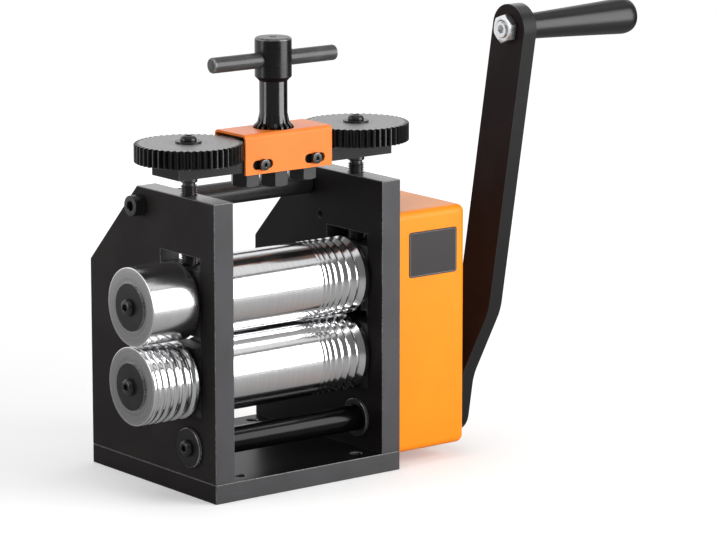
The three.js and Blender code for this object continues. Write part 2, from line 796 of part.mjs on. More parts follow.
function pinionGuard() {
  const bottom = barBottom - guardSkirt;
  const arch = (half, top, radius) => {
    const shape = new THREE.Shape();
    shape.moveTo(-half, bottom);
    shape.lineTo(half, bottom);
    shape.lineTo(half, top - radius);
    shape.absarc(half - radius, top - radius, radius, 0, Math.PI / 2, false);
    shape.lineTo(-half + radius, top);
    shape.absarc(-half + radius, top - radius, radius, Math.PI / 2, Math.PI, false);
    shape.closePath();
    return shape;
  };
  const outer = alongX(arch(guardOuterHalf, guardTop, guardBend), -guardLength / 2, guardLength);
  const hollow = arch(guardInnerHalf, guardInnerTop, guardBend - guardSheet);
  const inner = alongX(hollow, -guardLength / 2 - 1, guardLength + 2);
  const below = block(-guardLength, guardLength, -guardInnerHalf, guardInnerHalf, bottom - 2, bottom + 1);
  let guard = outer.subtract(inner).subtract(below);
  guard = guard.subtract(rodZ(pinionHole, guardInnerTop - 1, guardTop + 1, 0, 0));
  for (const x of [-guardScrewSpacing / 2, guardScrewSpacing / 2]) {
    const reach = (guardSlotLength - guardSlotHeight) / 2;
    const [z0, z1] = [guardScrewHeight - guardSlotHeight / 2, guardScrewHeight + guardSlotHeight / 2];
    const slot = block(x - reach, x + reach, -guardOuterHalf - 1, guardOuterHalf + 1, z0, z1)
      .add(rodY(guardSlotHeight / 2, -guardOuterHalf - 1, guardOuterHalf + 1, x - reach, guardScrewHeight))
      .add(rodY(guardSlotHeight / 2, -guardOuterHalf - 1, guardOuterHalf + 1, x + reach, guardScrewHeight));
    guard = guard.subtract(slot);
  }
  return guard.translate([0, rollAxisY, 0]);
}

function guardScrew(x, facing) {
  return capScrewX(m4LowCap, 0, 0, 0, 1)
    .rotate([0, 0, facing * 90])
    .translate([x, rollAxisY + facing * guardOuterHalf, guardScrewHeight]);
}

function axleBolt(x, top, headHeight) {
  const headTop = barBottom - running;
  const head = alongZ(hexagon(axleBoltFlats), headTop - headHeight, headHeight);
  return head.add(rodZ(axleBoltShank / 2, headTop - 1, top, 0, 0, 16)).translate([x, rollAxisY, 0]);
}

// T-handle: pinion teeth below, a short shoulder down to the neck, and the head above
const toothTop = guardTop + 1.5;
const neckStart = toothTop + pinionShoulder;
const headStart = neckStart + neckLength;
const headTop = headStart + headLength;
const crossBarHeight = headTop - headLength * 0.52;
const handleBoltTop = gearTop + 2;

function pinionHandle() {
  const bottom = barTop + running;
  const tip = liftTip(pinionTeeth) - pinionTopping;
  const neck = neckDiameter / 2;
  const head = headDiameter / 2;
  const teeth = alongZ(liftGearShape(pinionTeeth, pinionTurn), bottom, neckStart - bottom);
  const envelope = turnedZ([
    [0, bottom - 1],
    [tip, bottom - 1],
    [tip, toothTop],
    [neck, neckStart],
    [0, neckStart],
  ], 0, 0);
  const stem = turnedZ([
    [0, neckStart - 1],
    [neck, neckStart - 1],
    [neck, headStart],
    [head, headStart + 2],
    [head, headTop - 1],
    [head - 1, headTop],
    [0, headTop],
  ], 0, 0);
  return teeth
    .intersect(envelope)
    .add(stem)
    .subtract(rodZ(axleBoltShank / 2 + seat, bottom - 1, handleBoltTop + seat, 0, 0, 16))
    .subtract(rodX(crossBarDiameter / 2 + seat / 2, -head - 1, head + 1, 0, crossBarHeight))
    .translate([0, rollAxisY, 0]);
}

function crossBar() {
  const half = crossBarLength / 2;
  const radius = crossBarDiameter / 2;
  const profile = [
    [0, -half],
    [radius - 1, -half],
    [radius, -half + 1],
    [radius, half - 1],
    [radius - 1, half],
    [0, half],
  ];
  return turnedX(profile, rollAxisY, crossBarHeight, 16);
}

// Crank arm: flat bar with a step bent in it, round at both ends
function crankArm() {
  const end = armWidth / 2;
  const top = crankRadius + end;
  const step = outline([
    [hubInner, -end - armBelowShaft],
    [hubOuter, -end - armBelowShaft],
    [hubOuter, armBendStart],
    [armOuter, armBendEnd],
    [armOuter, top],
    [armInner, top],
    [armInner, armBendEnd],
    [hubInner, armBendStart],
  ]);
  const sideView = new THREE.ExtrudeGeometry(step, { depth: armWidth, bevelEnabled: false });
  sideView.translate(0, 0, -armWidth / 2);
  sideView.rotateX(Math.PI / 2);
  const stadium = new THREE.Shape();
  stadium.absarc(0, -armBelowShaft, end, Math.PI, 2 * Math.PI, false);
  stadium.absarc(0, crankRadius, end, 0, Math.PI, false);
  stadium.closePath();
  const bore = squareEnd / 2 + seat;
  return solid(sideView)
    .intersect(alongX(stadium, hubInner - 1, armOffset + armThickness + 2))
    .subtract(block(hubInner - 1, hubOuter + 1, -bore, bore, -bore, bore))
    .subtract(rodX(m10Cap.shankDiameter / 2 + seat, armInner - 1, armOuter + 1, 0, crankRadius, 16));
}

const hubWasherThickness = 2;
const hubWasherDiameter = 18;
const hubWasherGap = 0.1;

function hubScrew() {
  const face = hubOuter + hubWasherGap;
  const washer = rodX(hubWasherDiameter / 2, face, face + hubWasherThickness, 0, 0);
  const screw = buttonScrewX(m6Button, hubOuter + hubWasherThickness, 0, 0, 1);
  return washer.add(screw);
}

const gripPlay = 0.5;
const gripStart = armOuter + gripPlay;
const gripEnd = gripStart + gripLength;
const gripBoltRecess = 3;
const gripBoltSeat = gripEnd - gripBoltRecess - m10Cap.headHeight;
const nutThickness = 5.2;
const nutFlats = 16;

function grip() {
  const start = gripStartDiameter / 2;
  const widest = gripEndDiameter / 2;
  const bulge = gripEnd - gripCrownLength;
  const profile = [
    [0, gripStart],
    [start - 1, gripStart],
    [start, gripStart + 1],
    [start + (widest - start) * 0.3, gripStart + gripLength * 0.35],
    [start + (widest - start) * 0.75, gripStart + gripLength * 0.7],
    [widest, bulge],
    [widest - 0.6, gripEnd - gripShoulderLength],
    [widest - 2.4, gripEnd],
    [0, gripEnd],
  ];
  const bolt = m10Cap.shankDiameter / 2 + running;
  const head = m10Cap.headDiameter / 2 + running;
  return turnedX(profile, 0, crankRadius)
    .subtract(rodX(bolt, gripStart - 1, gripEnd + 1, 0, crankRadius, 16))
    .subtract(rodX(head, gripBoltSeat - running, gripEnd + 1, 0, crankRadius, 16));
}

function gripBolt() {
  const shankLength = gripBoltSeat - (armInner - nutThickness - 1);
  return capScrewX({ ...m10Cap, shankLength }, gripBoltSeat, 0, crankRadius, 1);
}

function gripNut() {
  return alongX(hexagon(nutFlats, 0, 0, Math.PI / 2), armInner - nutThickness, nutThickness)
    .subtract(rodX(m10Cap.shankDiameter / 2 + seat, armInner - nutThickness - 1, armInner + 1, 0, 0, 16))
    .translate([0, 0, crankRadius]);
}

// Frame
addPiece('base_plate', basePlate(), blackFrame);
for (const [side, name] of [[-1, 'left'], [1, 'right']]) {
  addPiece(`${name}_side_plate`, sidePlate(side), blackFrame);
  addPiece(`${name}_lower_bearing_block`, bearingBlock(side, lowerRollHeight), castIron);
  addPiece(`${name}_shaft_bush`, shaftBush(side), blackOxide);
  const tieBarScrew = capScrewX(m8Cap, side * plateOuter, tieBarY, tieBarHeight, side);
  addPiece(`${name}_tie_bar_screw`, tieBarScrew, blackOxide);
}
addPiece('tie_bar', tieBar(), blackOxide);
baseScrewPlaces.forEach(([x, y], i) => {
  const profile = countersunkProfile(0, baseScrewSunk, baseScrewLength);
  addPiece(`base_screw_${i + 1}`, turnedZ(profile, x, y, screwSegments), blackOxide);
});
addPiece('gear_cover', gearCover(), orangePaint);
coverScrewPlaces.forEach((place, i) => addPiece(`cover_screw_${i + 1}`, coverScrew(place), blackOxide));

// Lift, which rises and falls as one
addPiece('bridge_bar', bridgeBar(), blackOxide);
addPiece('pinion_guard', pinionGuard(), orangePaint);
for (const [side, name] of [[-1, 'left'], [1, 'right']]) {
  addPiece(`${name}_upper_bearing_block`, upperBearingBlock(side), castIron);
  addPiece(`${name}_idler_bolt`, axleBolt(side * idlerX, gearTop, idlerBoltHead), blackOxide);
  addPiece(`${name}_front_guard_screw`, guardScrew(side * guardScrewSpacing / 2, -1), blackOxide);
  addPiece(`${name}_rear_guard_screw`, guardScrew(side * guardScrewSpacing / 2, 1), blackOxide);
  addPiece(`${name}_idler_gear`, idler(side), blackOxide);
  addPiece(`${name}_adjusting_screw`, adjustingScrew(side), blackOxide);
  addPiece(`${name}_adjusting_gear`, adjustingGear(side), blackOxide);
  addPiece(`${name}_gear_washer`, gearWasher(side), blackOxide);
  addPiece(`${name}_gear_screw`, gearScrew(side), blackOxide);
}
addPiece('pinion_handle', pinionHandle(), blackOxide);
addPiece('cross_bar', crossBar(), blackOxide);
addPiece('handle_bolt', axleBolt(0, handleBoltTop, handleBoltHead), blackOxide);

// Rolls
for (const [name, height, shaftEnd, gearTurn] of [
  ['upper', upperRollHeight, rollGearEnd + 1, upperRollGearTurn],
  ['lower', lowerRollHeight, reductionEnd + 1, lowerRollGearTurn],
]) {
  addPiece(`${name}_roll`, roll(height, shaftEnd), polishedSteel);
  addPiece(`${name}_side_roller`, sideRoller(height, name === 'lower'), polishedSteel);
  addPiece(`${name}_keeper_disc`, keeperDisc(height), blackOxide);
  const headX = sideRollerEnd - keeperDiscThickness;
  addPiece(`${name}_keeper_screw`, buttonScrewX(m6Button, headX, rollAxisY, height, -1), blackOxide);
  addPiece(`${name}_roll_gear`, rollGear(height, gearTurn), turnedSteel);
}
const reductionBore = shaftDiameter / 2 + seat;
const reductionGear = driveGear(reductionTeeth, reductionTurn, reductionBore, reductionStart, driveGearWidth);
addPiece('reduction_gear', reductionGear.translate([0, rollAxisY, lowerRollHeight]), turnedSteel);

// Crank, leaning forward from its hub on the drive shaft
const crank = new THREE.Group();
crank.position.set(0, driveShaftY, driveShaftZ);
crank.rotation.x = crankLean;
mill.add(crank);
addPiece('drive_shaft', driveShaft(), blackOxide, crank);
const pinionBore = driveShaftDiameter / 2 + seat;
const pinionStart = reductionStart - 0.5;
const drivePinion = driveGear(driveTeeth, driveTurn - crankLean, pinionBore, pinionStart, driveGearWidth + 1);
addPiece('drive_pinion', drivePinion, turnedSteel, crank);
const shaftWasherOuter = shaftLeft - washerGap - shaftWasherThickness;
const shaftWasherHole = m6Button.shankDiameter / 2 + seat;
const shaftWasher = rodX(shaftWasherDiameter / 2, shaftWasherOuter, shaftLeft - washerGap, 0, 0)
  .subtract(rodX(shaftWasherHole, shaftWasherOuter - 1, shaftLeft, 0, 0, screwSegments));
addPiece('shaft_washer', shaftWasher, blackOxide, crank);
addPiece('shaft_screw', buttonScrewX(m6Button, shaftWasherOuter, 0, 0, -1), blackOxide, crank);
addPiece('crank_arm', crankArm(), blackFrame, crank);
addPiece('hub_screw', hubScrew(), blackOxide, crank);
addPiece('grip_bolt', gripBolt(), zincPlate, crank);
addPiece('grip_nut', gripNut(), zincPlate, crank);
addPiece('crank_grip', grip(), blackGrip, crank);

export default mill;
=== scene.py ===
import json
import math

import bmesh
import bpy
from mathutils import Matrix, Vector


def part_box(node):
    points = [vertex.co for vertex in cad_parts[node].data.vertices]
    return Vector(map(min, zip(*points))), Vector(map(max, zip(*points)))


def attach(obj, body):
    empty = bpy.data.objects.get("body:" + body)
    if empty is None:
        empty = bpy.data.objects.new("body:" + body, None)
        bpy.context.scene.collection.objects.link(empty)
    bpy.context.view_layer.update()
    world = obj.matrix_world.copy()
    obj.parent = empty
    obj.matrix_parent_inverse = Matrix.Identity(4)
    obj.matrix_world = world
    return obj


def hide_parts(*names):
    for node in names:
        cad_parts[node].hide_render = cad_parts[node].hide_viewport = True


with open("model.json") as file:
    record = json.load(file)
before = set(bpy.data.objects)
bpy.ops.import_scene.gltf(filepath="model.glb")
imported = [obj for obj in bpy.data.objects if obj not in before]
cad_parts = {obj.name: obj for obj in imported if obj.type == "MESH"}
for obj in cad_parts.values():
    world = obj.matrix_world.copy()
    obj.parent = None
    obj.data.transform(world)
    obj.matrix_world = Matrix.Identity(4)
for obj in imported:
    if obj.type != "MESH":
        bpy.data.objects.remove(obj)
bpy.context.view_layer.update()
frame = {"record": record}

scene = bpy.context.scene
scene.view_settings.view_transform = "Standard"

# The camera looks down a little on the mill's left front corner, from about 2.4 m away
# and through a long lens, as the photograph was taken.
view_turn = math.radians(37.65)
view_dip = math.radians(11.6)
lens = bpy.data.cameras.new("camera")
lens.lens = 195.28
lens.sensor_width = 36
lens.clip_start = 0.01
camera = bpy.data.objects.new("camera", lens)
camera.location = (-1.3773, -1.8995, 0.6058)
camera.rotation_euler = (math.pi / 2 - view_dip, 0, -view_turn)
scene.collection.objects.link(camera)
scene.camera = camera


class Signal:
    """A number, colour or vector on its way through a finish's nodes."""

    def __init__(self, finish, socket):
        self.finish = finish
        self.socket = socket

    def maths(self, operation, *others, first=None):
        values = [self, *others] if first is None else [first, self]
        return self.finish.node("ShaderNodeMath", {"operation": operation}, dict(enumerate(values)))

    def __add__(self, other):
        return self.maths("ADD", other)

    def __sub__(self, other):
        return self.maths("SUBTRACT", other)

    def __mul__(self, other):
        return self.maths("MULTIPLY", other)

    def __rsub__(self, other):
        return self.maths("SUBTRACT", first=other)

    __radd__ = __add__
    __rmul__ = __mul__

    def between(self, low, high):
        """0 below low and 1 above high, with a smooth slope between them."""
        settings = {"interpolation_type": "SMOOTHSTEP"}
        return self.finish.node("ShaderNodeMapRange", settings, {0: self, 1: low, 2: high})


class Nodes:
    """The node tree of a material or of the world."""

    def __init__(self, tree):
        self.tree = tree

    def node(self, kind, settings, inputs, output=0):
        made = self.tree.nodes.new(kind)
        for name, value in settings.items():
            setattr(made, name, value)
        for name, value in inputs.items():
            self.feed(made.inputs[name], value)
        return Signal(self, made.outputs[output])

    def feed(self, socket, value):
        if isinstance(value, Signal):
            self.tree.links.new(value.socket, socket)
        elif socket.type == "RGBA":
            socket.default_value = (*value, 1)
        else:
            socket.default_value = value

    def blend(self, share, first, second):
        """A colour that goes from first to second as share goes from 0 to 1."""
        mixing = {"data_type": "RGBA", "clamp_factor": True}
        return self.node("ShaderNodeMix", mixing, {0: share, 6: first, 7: second}, 2)

    def ray(self, kind):
        return self.node("ShaderNodeLightPath", {}, {}, f"Is {kind} Ray")

    def place(self, part="Object"):
        return self.node("ShaderNodeTexCoord", {}, {}, part)

    def along(self, vector, axis):
        return self.node("ShaderNodeSeparateXYZ", {}, {0: vector}, axis)

    def length(self, vector):
        return self.node("ShaderNodeVectorMath", {"operation": "LENGTH"}, {0: vector}, "Value")


# The room is white to the camera. In the metal's reflections it is a white backdrop behind
# the mill and a pale panel high in front, in a dim studio. As a light it is an even white.
room = bpy.data.worlds.new("room")
room.use_nodes = True
scene.world = room
walls = Nodes(room.node_tree)
room_light, dim_studio, panel_tone = 0.42, 0.15, 0.75
direction = walls.place("Generated")
deep = walls.along(direction, "Y")
high = walls.along(direction, "Z")
backdrop_share = deep.between(-0.1, 0.35) * (1 - high.between(0.60, 0.72))
panel_share = (1 - deep.between(0.02, 0.34)) * high.between(0.66, 0.70) * panel_tone
white_share = (backdrop_share + panel_share) * (1 - dim_studio) + dim_studio
to_camera = walls.ray("Camera") * (1 - room_light)
room_strength = to_camera + walls.ray("Glossy") * (white_share - room_light) + room_light
backdrop = room.node_tree.nodes["Background"]
backdrop.inputs["Color"].default_value = (1, 1, 1, 1)
walls.feed(backdrop.inputs["Strength"], room_strength)


# Floor: a wide pale board that fades into the white room. In the metal's reflections it is
# grey near the mill, darker far to the right and pale behind.
MM = 0.001


class Finish(Nodes):
    """One finish: a surface, its settings, and the nodes that feed it."""

    def __init__(self, name, **settings):
        self.material = bpy.data.materials.new(name)
        self.material.use_nodes = True
        super().__init__(self.material.node_tree)
        self.surface = self.tree.nodes["Principled BSDF"]
        for words, value in settings.items():
            self.set(words.replace("_", " ").title().replace("Ior", "IOR"), value)

    def set(self, socket, value):
        self.feed(self.surface.inputs[socket], value)

    def look(self, colour, roughness, relief, depth_mm):
        """Sets the colour and the roughness, and a relief of the given depth."""
        self.set("Base Color", colour)
        self.set("Roughness", roughness)
        bump = {"Height": relief, "Distance": depth_mm * MM, "Strength": 1.0}
        self.set("Normal", self.node("ShaderNodeBump", {}, bump))

    def measured(self, size, centre=(0, 0, 0), turn=(0, 0, 0)):
        """Places on the piece, counted in a grain's length, breadth and height in millimetres."""
        sizes = {"Scale": [s * MM for s in size], "Location": [c * MM for c in centre], "Rotation": turn}
        return self.node("ShaderNodeMapping", {"vector_type": "TEXTURE"}, {"Vector": self.place(), **sizes})

    def noise(self, size, detail=3, roughness=0.55, turn=(0, 0, 0)):
        """Grain of the given size in millimetres, as one number or as one for each axis."""
        sizes = size if isinstance(size, tuple) else (size, size, size)
        inputs = {"Vector": self.measured(sizes, turn=turn), "Detail": detail, "Roughness": roughness}
        return self.node("ShaderNodeTexNoise", {}, {**inputs, "Scale": 1.0})

    def facing(self, axis):
        """1 on faces that look along the axis either way, 0 on the others."""
        return self.along(self.place("Normal"), axis).maths("ABSOLUTE").between(0.5, 0.8)


def placed(name, shape, *finishes):
    """The shape as an object of the scene, with the given finishes."""
    mesh = bpy.data.meshes.new(name)
    shape.to_mesh(mesh)
    shape.free()
    for coat in finishes:
        mesh.materials.append(coat.material)
    thing = bpy.data.objects.new(name, mesh)
    scene.collection.objects.link(thing)
    return thing


board = Finish("pale_board", roughness=0.9, specular_ior_level=0.1, emission_color=(1, 1, 1))
floor_shape = bmesh.new()
bmesh.ops.create_grid(floor_shape, x_segments=1, y_segments=1, size=6)
floor = placed("floor", floor_shape, board)
board_tone, tone_near, tone_right, tone_behind = ((tone,) * 3 for tone in (0.82, 0.36, 0.10, 0.90))
glow_near, glow_added_away, glow_behind = 0.28, 0.34, 0.4
mirrored = board.ray("Glossy")
at_back = board.along(board.place(), "Y").between(0.45, 0.90)
at_right = board.along(board.place(), "X").between(0.60, 0.90)
reflected_tone = board.blend(at_back, board.blend(at_right, tone_near, tone_right), tone_behind)
board.set("Base Color", board.blend(mirrored, board_tone, reflected_tone))
away = board.length(board.place()).between(0.25, 1.1)
glow = board.ray("Camera") * (away * glow_added_away + glow_near) + mirrored * at_back * glow_behind
board.set("Emission Strength", glow)


# Lamps: a tall soft box stands to the right in front, a narrower one to the left, and a third
# hangs overhead. Black bars above and below the first draw the thin dark lines on the rolls.
def lamp(name, size, place, aim, radiance):
    """A soft box of the given width and height, which shines from place towards aim."""
    light = bpy.data.lights.new(name, "AREA")
    light.shape = "RECTANGLE"
    light.size, light.size_y = size
    light.energy = radiance * math.pi * size[0] * size[1]
    box = bpy.data.objects.new(name, light)
    box.location = place
    box.rotation_euler = (Vector(aim) - Vector(place)).to_track_quat("-Z", "Y").to_euler()
    box.visible_camera = False
    scene.collection.objects.link(box)
    return box


def cuboid(x0, x1, y0, y1, z0, z1):
    shape = bmesh.new()
    bmesh.ops.create_cube(shape, size=1)
    bmesh.ops.scale(shape, vec=(x1 - x0, y1 - y0, z1 - z0), verts=shape.verts)
    middle = ((x0 + x1) / 2, (y0 + y1) / 2, (z0 + z1) / 2)
    bmesh.ops.translate(shape, vec=middle, verts=shape.verts)
    return shape


lamp_distance = 0.95
key_side = Vector((0.56, -0.83, 0))
left_side = Vector((-0.966, 0.26, 0))
for name, size, side, height, radiance in (
    ("key_lamp", (0.74, 0.82), key_side, 0.45, 4.9), ("left_lamp", (0.30, 0.80), left_side, 0.44, 2.6),
):
    spot = side * lamp_distance + Vector((0, 0, height))
    lamp(name, size, spot, spot - side, radiance)
top_lamp = lamp("top_lamp", (1.3, 1.1), (-0.1, 0.1, 1.5), (0, 0, 0.1), 1.7)
top_lamp.visible_glossy = False

flag_cloth = Finish("flag_cloth", base_color=(0.01, 0.01, 0.01))
for height in (-0.05, 0.95):
    bar_shape = cuboid(-0.4, 0.4, -0.005, 0.005, -0.09, 0.09)
    turn = Matrix.Rotation(math.atan2(key_side.x, -key_side.y), 4, "Z")
    spot = Matrix.Translation(key_side * (lamp_distance - 0.01) + Vector((0, 0, height)))
    bmesh.ops.transform(bar_shape, matrix=spot @ turn, verts=bar_shape.verts)
    lamp_frame = placed("lamp_frame", bar_shape, flag_cloth)
    lamp_frame.visible_camera = False
    lamp_frame.visible_diffuse = False
    lamp_frame.visible_shadow = False


# Base plate: 12 mm flat steel, sawn and ground on its edges, blackened, with four holes
# for the bench bolts. The side plates stand on it.
frame_depth, plates_apart = 132, 112
plate_thickness, base_thickness = 14, 12
plate_outer = plates_apart / 2 + plate_thickness
screw_x = plate_outer - plate_thickness / 2
screw_inset = 8.5
bench_hole, bench_hole_inset = 7, 11.5
corners = ((-1, -1), (-1, 1), (1, -1), (1, 1))


def times(colour, share):
    return tuple(part * share for part in colour)


def ground_edge(name, colour, grain, turn=(0, 0, 0)):
    """The ground edges of blackened flat steel: a brushed grey, with the level faces on top painted brighter
    as a sheen.
    """
    steel = Finish(name, specular_ior_level=0.3, coat_roughness=0.32)
    grain = steel.noise(grain, 4, 0.6, turn)
    cloud = steel.noise(36, 4)
    level = steel.facing("Z")
    tone = grain.between(0.25, 0.78) * 0.42 + cloud.between(0.3, 0.75) * 0.3 + 0.45
    upright = steel.blend(tone, times(colour, 0.62), times(colour, 1.25))
    roughness = 0.46 - level * 0.22 + grain.between(0.3, 0.7) * 0.1 - cloud.between(0.4, 0.7) * 0.06
    # Level faces take the colour 2.2 times lighter: a painted sheen for the grazing reflection on top.
    steel.look(steel.blend(level, upright, times(colour, 2.2)), roughness, grain, 0.010)
    steel.set("Coat Weight", level * 0.8)
    return steel


def blackened_face(name, colour):
    """The wide faces of blackened flat steel: nearly black, clouded, glossier when level."""
    steel = Finish(name, specular_ior_level=0.14)
    cloud = steel.noise(36, 4)
    speck = steel.noise(0.7, 2)
    roughness = 0.50 - steel.facing("Z") * 0.22 + speck.between(0.3, 0.7) * 0.08
    steel.look(steel.blend(cloud.between(0.35, 0.7), colour, times(colour, 1.5)), roughness, speck, 0.006)
    return steel


def worn_and_highlit_edge(name, tone):
    """The same steel where its corners have rubbed bright, and brighter still as a painted highlight along
    the edges.
    """
    steel = Finish(name, metallic=0.75)
    rub = steel.noise(0.9, 4).between(0.3, 0.7)
    steel.set("Base Color", steel.blend(rub, (tone * 0.5,) * 3, (tone * 1.6,) * 3))
    steel.set("Roughness", 0.3 + rub * 0.15)
    return steel


base_edge = ground_edge("base_edge", (0.060, 0.059, 0.062), (22, 0.4, 0.4))
base_side = blackened_face("base_side", (0.0125, 0.0104, 0.0104))
# The base's level faces are much darker than its sides: a painted shadow under the rolls.
base_top_painted_shadow = blackened_face("base_top_painted_shadow", (0.0040, 0.0034, 0.0034))
# The rounded corners of base and plates: rubbed wear, painted brighter as a highlight too.
rubbed_and_highlit_corner = worn_and_highlit_edge("rubbed_and_highlit_corner", 0.14)


def limits(node):
    """The lowest and highest corners of a solid of the frame, in millimetres."""
    return [Vector(corner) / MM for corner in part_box(node)]


def chained(shape, points):
    """A line of vertices and edges through the points, ready to be spun."""
    chain = [shape.verts.new(point) for point in points]
    for first, second in zip(chain, chain[1:]):
        shape.edges.new((first, second))
    return [*shape.verts, *shape.edges]


def turned(profile, centre, along="X", steps=64):
    """A lathe shape about an axis through centre: profile lists (radius, place on the axis)."""
    axis = Vector([letter == along for letter in "XYZ"])
    out = Vector((0, 0, 1)) if along == "X" else Vector((1, 0, 0))
    shape = bmesh.new()
    line = chained(shape, [Vector(centre) + axis * place + out * radius for radius, place in profile])
    full = 2 * math.pi
    bmesh.ops.spin(shape, geom=line, cent=centre, axis=axis, angle=full, steps=steps, use_merge=True)
    bmesh.ops.remove_doubles(shape, verts=shape.verts, dist=1e-4)
    bmesh.ops.recalc_face_normals(shape, faces=shape.faces)
    return shape


def drill(radius, start, end, centre, along="Z", steps=48):
    return turned([(0, start), (radius, start), (radius, end), (0, end)], centre, along, steps)


def cut(shape, *tools, operation="DIFFERENCE"):
    """The shape with the tools taken out of it, joined to it, or kept only where they meet it."""
    stock = placed("stock", shape)
    cutters = [placed("cutter", tool) for tool in tools]
    for cutter in cutters:
        step = stock.modifiers.new("cut", "BOOLEAN")
        step.operation = operation
        step.solver = "EXACT"
        step.object = cutter
    result = bmesh.new()
    result.from_object(stock, bpy.context.evaluated_depsgraph_get())
    for used in [stock, *cutters]:
        bpy.data.objects.remove(used)
    bmesh.ops.remove_doubles(result, verts=result.verts, dist=1e-4)
    bmesh.ops.dissolve_degenerate(result, edges=result.edges, dist=1e-4)
    return result


def edges_along(shape, axis):
    """The edges of a block that run along its x, y or z axis."""
    return [e for e in shape.edges if abs(getattr(e.verts[0].co - e.verts[1].co, axis)) > 0.1]


def round_edges(shape, edges, width, segments):
    """Rounds the given edges by width, and gives back the faces of the rounds."""
    return bmesh.ops.bevel(
        shape, geom=edges, offset=width, offset_type="OFFSET", segments=segments, profile=0.5,
        affect="EDGES", clamp_overlap=True, material=-1,
    )["faces"]


def eased(shape, width, segments=2, sharper_than=28, mark=0):
    """The shape with its sharp edges rounded by width, and the rounds given finish number mark."""
    limit = math.radians(sharper_than)
    sharp = [e for e in shape.edges if len(e.link_faces) == 2 and e.calc_face_angle() > limit]
    for face in round_edges(shape, sharp, width, segments):
        face.material_index = mark
    return shape


def fit(shape, name, body, finish, node, turn=None, others=(), pick=None):
    """Makes a shape in millimetres a piece that rides on a body: pick numbers a face's finish."""
    if turn is not None:
        bmesh.ops.transform(shape, matrix=turn, verts=shape.verts)
    limit = math.radians(32)
    shape.normal_update()
    for face in shape.faces:
        face.smooth = True
        if pick is not None:
            face.material_index = max(face.material_index, int(pick(face)))
    for edge in shape.edges:
        edge.smooth = len(edge.link_faces) == 2 and edge.calc_face_angle() < limit
    bmesh.ops.scale(shape, vec=(MM, MM, MM), verts=shape.verts)
    piece = placed(name, shape, finish, *others)
    weights = piece.modifiers.new("even_shading", "WEIGHTED_NORMAL")
    weights.keep_sharp = True
    weights.weight = 90
    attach(piece, body)
    if node:
        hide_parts(node)


base = cuboid(-plate_outer, plate_outer, -frame_depth / 2, frame_depth / 2, 0, base_thickness)
base = eased(base, 0.5, mark=3)
hole, mouth = bench_hole / 2, bench_hole / 2 + 0.5
bench_profile = [
    (0, -1), (mouth, -1), (mouth, 0), (hole, 0.5), (hole, base_thickness - 0.5), (mouth, base_thickness),
    (mouth, base_thickness + 1), (0, base_thickness + 1),
]
screw_profile = [(0, -1), (6.3, -1), (6.3, 0.4), (3.3, 3.4), (0, 3.4)]
for profile, place_x, place_y in (
    (bench_profile, plates_apart / 2 - bench_hole_inset, frame_depth / 2 - bench_hole_inset),
    (screw_profile, screw_x, frame_depth / 2 - screw_inset),
):
    for x, y in corners:
        base = cut(base, turned(profile, (x * place_x, y * place_y, 0), "Z", 40))
fit(base, "base", "frame", base_edge, "base_plate",
    others=[base_side, base_top_painted_shadow, rubbed_and_highlit_corner],
    pick=lambda face: (abs(face.normal.x) > 0.95) + 2 * (abs(face.normal.z) > 0.95))


# Side plates: 14 mm flat steel with a sloped rear corner and a milled window for the bearing
# blocks, blackened after machining. Screws from below hold them to the base.
plate_edge = ground_edge("plate_edge", (0.058, 0.057, 0.061), (0.4, 0.4, 26))
plate_face = blackened_face("plate_face", (0.0145, 0.0118, 0.0118))
# The plates' inner faces take a darker colour than the outer ones: painted shade between the plates.
plate_inside_painted_shade = blackened_face("plate_inside_painted_shade", (0.0085, 0.0068, 0.0068))
window_floor, window_top, window_width = 51, 148, 41
rear_chamfer = (51.5, 53)
tie_bar_low, tie_bar_high = limits("tie_bar")
tie_bar_place = (tie_bar_low + tie_bar_high) / 2
adjusting_screw, bush_barrel = 10, 20
table_hole, table_hole_place = 4.5, (0, -2.5, 153.5)
m6_hole, m8_hole, m10_hole = 3.3, 4.3, 5.3
sides = ((-1, "left"), (1, "right"))


def axis_place(joint):
    """A point on a joint's axis, in millimetres."""
    joints = frame["record"]["behaviour"]["joints"]
    return next(Vector(entry["pos_m"]) / MM for entry in joints if entry["name"] == joint)


def carried(shape, way):
    """The shape's flat faces carried along a vector into a solid."""
    grown = bmesh.ops.extrude_face_region(shape, geom=list(shape.faces))["geom"]
    moved = [item for item in grown if isinstance(item, bmesh.types.BMVert)]
    bmesh.ops.translate(shape, vec=way, verts=moved)
    bmesh.ops.recalc_face_normals(shape, faces=shape.faces)
    return shape


def slab(points, start, end, along="X"):
    """A flat outline across the X or Y axis, carried along that axis."""
    place = (lambda a, b, c: (c, a, b)) if along == "X" else (lambda a, b, c: (a, c, b))
    shape = bmesh.new()
    shape.faces.new([shape.verts.new(place(a, b, start)) for a, b in points])
    return carried(shape, place(0, 0, end - start))


def countersink(radius, mouth_face, deep_end, centre, ease=0.4):
    """A drill along X with a small cone at the mouth, so that the hole's rim is eased."""
    way = 1 if deep_end > mouth_face else -1
    profile = [
        (0, mouth_face - way), (radius + ease + 1, mouth_face - way), (radius, mouth_face + ease * way),
        (radius, deep_end), (0, deep_end),
    ]
    return turned(profile, centre, "X", 48)


def across(node):
    """The middle of a solid, moved along X to the middle of the mill."""
    low, high = limits(node)
    return Vector((0, (low.y + high.y) / 2, (low.z + high.z) / 2))


